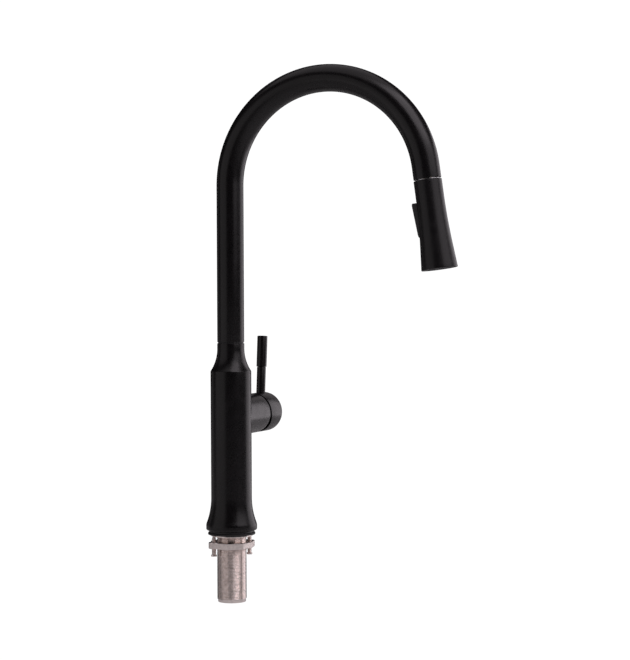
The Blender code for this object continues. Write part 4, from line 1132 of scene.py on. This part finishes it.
def make_cap():
    outline = [(0.0, BOSS_START), (BOSS_R, BOSS_START), (BOSS_R, CAP_FLOOR), (CAP_CAVITY_R, CAP_FLOOR)]
    outline += [(CAP_CAVITY_R, CAP_START + CAP_BEVEL), (CAP_LIP_R, CAP_START)]
    outline += corner((CAP_LIP_R, CAP_START), (HUB_R, CAP_START), (HUB_R, CAP_END), 0.25)
    outline += arc((HUB_R - CAP_EDGE, CAP_END - CAP_EDGE), CAP_EDGE, 0.0, QUARTER, 8) + [(0.0, CAP_END)]
    bm = Skin().turn(outline, 128)
    # the lower half of the rim (local +X) is cut back on a slant, so that the cap can tilt
    for vert in bm.verts:
        if vert.co.z < CAP_START + CAP_BEVEL + 0.1 and vert.co.x > 0.0:
            vert.co.z += vert.co.x * tan(CAP_RELIEF)
    cap = part("lever_hub_cap", "handle_cap", "matte_black", "handle", bm, HUB, sharp=40.0)
    low, high = (-SOCKET_HALF, -SOCKET_HALF, BOSS_START - 1.0), (SOCKET_HALF, SOCKET_HALF, SOCKET_END)
    tools = [block(low, high, HUB)]
    tools.append(cutter(rod(ROD_R + CLEAR, SEAT_UP, SEAT_UP + 10.0), LEVER, 64))
    tools.append(cutter(rod(STUD_R + CLEAR, SEAT_UP - STUD_LENGTH, SEAT_UP + 2.0), LEVER))
    tools.append(cutter(rod(GRUB_HOLE_R, SOCKET_HALF - 0.5, HUB_R + 2.0), GRUB))
    cut(cap, tools, sharp=40.0)

    plug = rod(PLUG_R, HUB_R - 4.0, HUB_R - 0.2)
    turned("grub_screw_plug", "set_screw_plug", "black_plastic", "handle", plug, GRUB,
           sides=48, rounding=0.35)


def make_lever():
    foot, seat = SEAT_UP - STUD_LENGTH + CLEAR, SEAT_UP + CLEAR
    outline = [(0.0, foot)] + corner((0.0, foot), (STUD_R, foot), (STUD_R, SEAT_UP), 0.4)
    outline += [(STUD_R, seat)] + corner((STUD_R, seat), (ROD_R, seat), (ROD_R, ROD_TOP), 0.3)
    outline += corner((ROD_R, SEAT_UP), (ROD_R, ROD_TOP), (STUD_R, ROD_TOP), 0.35)
    outline += [(STUD_R, ROD_TOP), (STUD_R, ROD_TOP + STUD_LENGTH), (0.0, ROD_TOP + STUD_LENGTH)]
    turned("lever_stem", "lever_rod", "matte_black", "handle", outline, LEVER)

    low, bore_r = ROD_TOP + CLEAR, STUD_R + CLEAR
    outline = [(0.0, low + STUD_LENGTH), (bore_r, low + STUD_LENGTH), (bore_r, low)]
    outline += corner((STUD_R, low), (GRIP_R, low), (GRIP_R, GRIP_TOP), 0.5, 4)
    outline += corner((GRIP_R, low), (GRIP_R, GRIP_TOP), (0.0, GRIP_TOP), 0.8, 6) + [(0.0, GRIP_TOP)]
    turned("lever_handle_grip", "lever_grip", "matte_black", "handle", outline, LEVER)


# ---- floor, light and camera ----

FLOOR_AT = (0.0, -0.1, -0.16)
FLOOR_RINGS = (1.0, 4000.0)  # radii, in millimetres
WHITE = 1.05  # strength that shows as plain white
LIGHT_TARGET = Vector((0.0, -0.05, 0.24))  # the point that the softboxes are aimed at
CAMERA_AT = (-1.8285, -0.8103, 0.2530)
CAMERA_HEADING = radians(21.39)
CAMERA_PITCH = radians(-1.173)
CAMERA_ROLL = radians(-0.24)
CAMERA_LENS = 104.9
CAMERA_SENSOR = 36.0


def mixed(tree, factor, one, other):
    """One shader where a factor is 0, and the other where it is 1."""
    mix = tree.nodes.new("ShaderNodeMixShader")
    for number, output in enumerate((factor, one, other)):
        tree.links.new(output, mix.inputs[number])
    return mix.outputs["Shader"]


def camera_ray(tree):
    return tree.nodes.new("ShaderNodeLightPath").outputs["Is Camera Ray"]


def make_surroundings():
    """Plain white all round for the camera, and a dim room for the reflections."""
    bpy.context.scene.view_settings.view_transform = "Standard"
    world = bpy.data.worlds.new("studio")
    world.use_nodes = True
    tree = world.node_tree
    room = tree.nodes["Background"]
    room.inputs["Color"].default_value = (0.93, 0.90, 0.96, 1.0)
    room.inputs["Strength"].default_value = 0.02
    paper = tree.nodes.new("ShaderNodeBackground")
    paper.inputs["Color"].default_value = (1.0, 1.0, 1.0, 1.0)
    paper.inputs["Strength"].default_value = WHITE
    seen = mixed(tree, camera_ray(tree), room.outputs["Background"], paper.outputs["Background"])
    tree.links.new(seen, tree.nodes["World Output"].inputs["Surface"])
    bpy.context.scene.world = world

    floor = Finish("pale_floor", (0.62, 0.62, 0.62), 0.8)
    floor.set("Emission Color", (1.0, 0.96, 0.96, 1.0))
    floor.set("Emission Strength", 0.08)
    tree = floor.tree
    glow = floor.node("ShaderNodeEmission", Strength=WHITE).outputs["Emission"]
    seen = mixed(tree, camera_ray(tree), floor.shader.outputs["BSDF"], glow)
    # its underside lets a view from below through
    below = floor.node("ShaderNodeNewGeometry").outputs["Backfacing"]
    clear = floor.node("ShaderNodeBsdfTransparent").outputs["BSDF"]
    floor.link(mixed(tree, below, seen, clear), tree.nodes["Material Output"], "Surface")
    skin = Skin()
    loops = [skin.loop(turn_points(radius, 0.0, 64)) for radius in FLOOR_RINGS]
    skin.join(*loops)
    skin.cap(loops[0])
    place = Matrix.Translation(FLOOR_AT) @ Matrix.Rotation(pi, 4, "X")
    add("floor", skin.bm, floor.material, None, place)


def softbox(name, heading, height, distance, width, tall, power, tint):
    """Rectangular light aimed at the faucet. Headings are degrees round from the camera, seen from above:
    positive is to the camera's right."""
    turn = CAMERA_HEADING + pi + radians(heading)
    at = Vector((distance * cos(turn), distance * sin(turn), height))
    lamp = bpy.data.lights.new(name, "AREA")
    lamp.shape = "RECTANGLE"
    lamp.size, lamp.size_y = width, tall
    lamp.energy = power
    lamp.color = tint
    place = basis(at, at - LIGHT_TARGET, (-sin(turn), cos(turn), 0.0))
    hold(name, lamp, place).visible_camera = False


def make_lights():
    softbox("right_strip", 121.0, 0.20, 1.4, 1.3, 1.4, 8.0, (1.0, 0.93, 0.98))
    softbox("left_strip", -125.0, 0.15, 1.4, 0.5, 1.0, 0.25, (1.0, 0.93, 0.95))
    softbox("back_strip", 168.0, 0.75, 1.4, 0.9, 0.6, 0.5, (1.0, 0.92, 0.95))
    softbox("right_top", 45.0, 1.35, 0.96, 1.3, 0.9, 8.4, (1.0, 0.92, 0.98))
    softbox("right_fill", 57.0, 0.8, 1.4, 1.4, 0.9, 4.6, (1.0, 0.93, 0.98))
    softbox("left_fill", -62.0, 0.4, 1.4, 1.7, 1.3, 3.2, (1.0, 0.94, 0.96))
    softbox("ceiling", -60.0, 1.75, 0.12, 2.0, 2.0, 7.5, (1.0, 0.93, 0.97))


def make_camera():
    lens = bpy.data.cameras.new("photo_camera")
    lens.lens = CAMERA_LENS
    lens.sensor_width = CAMERA_SENSOR
    place = Matrix.Translation(CAMERA_AT)
    for angle, axis in ((CAMERA_HEADING - QUARTER, "Z"), (QUARTER + CAMERA_PITCH, "X"), (CAMERA_ROLL, "Z")):
        place @= Matrix.Rotation(angle, 4, axis)
    bpy.context.scene.camera = hold("photo_camera", lens, place)


make_camera()
make_body()
make_set_screw()
make_foot()
make_shank()
make_clamp()
make_spout()
make_pulled_hose()
make_hose_end()
make_shell()
make_outlet()
make_rocker()
make_bonnet()
make_cap()
make_lever()
dress_cad_nodes()
make_surroundings()
make_lights()
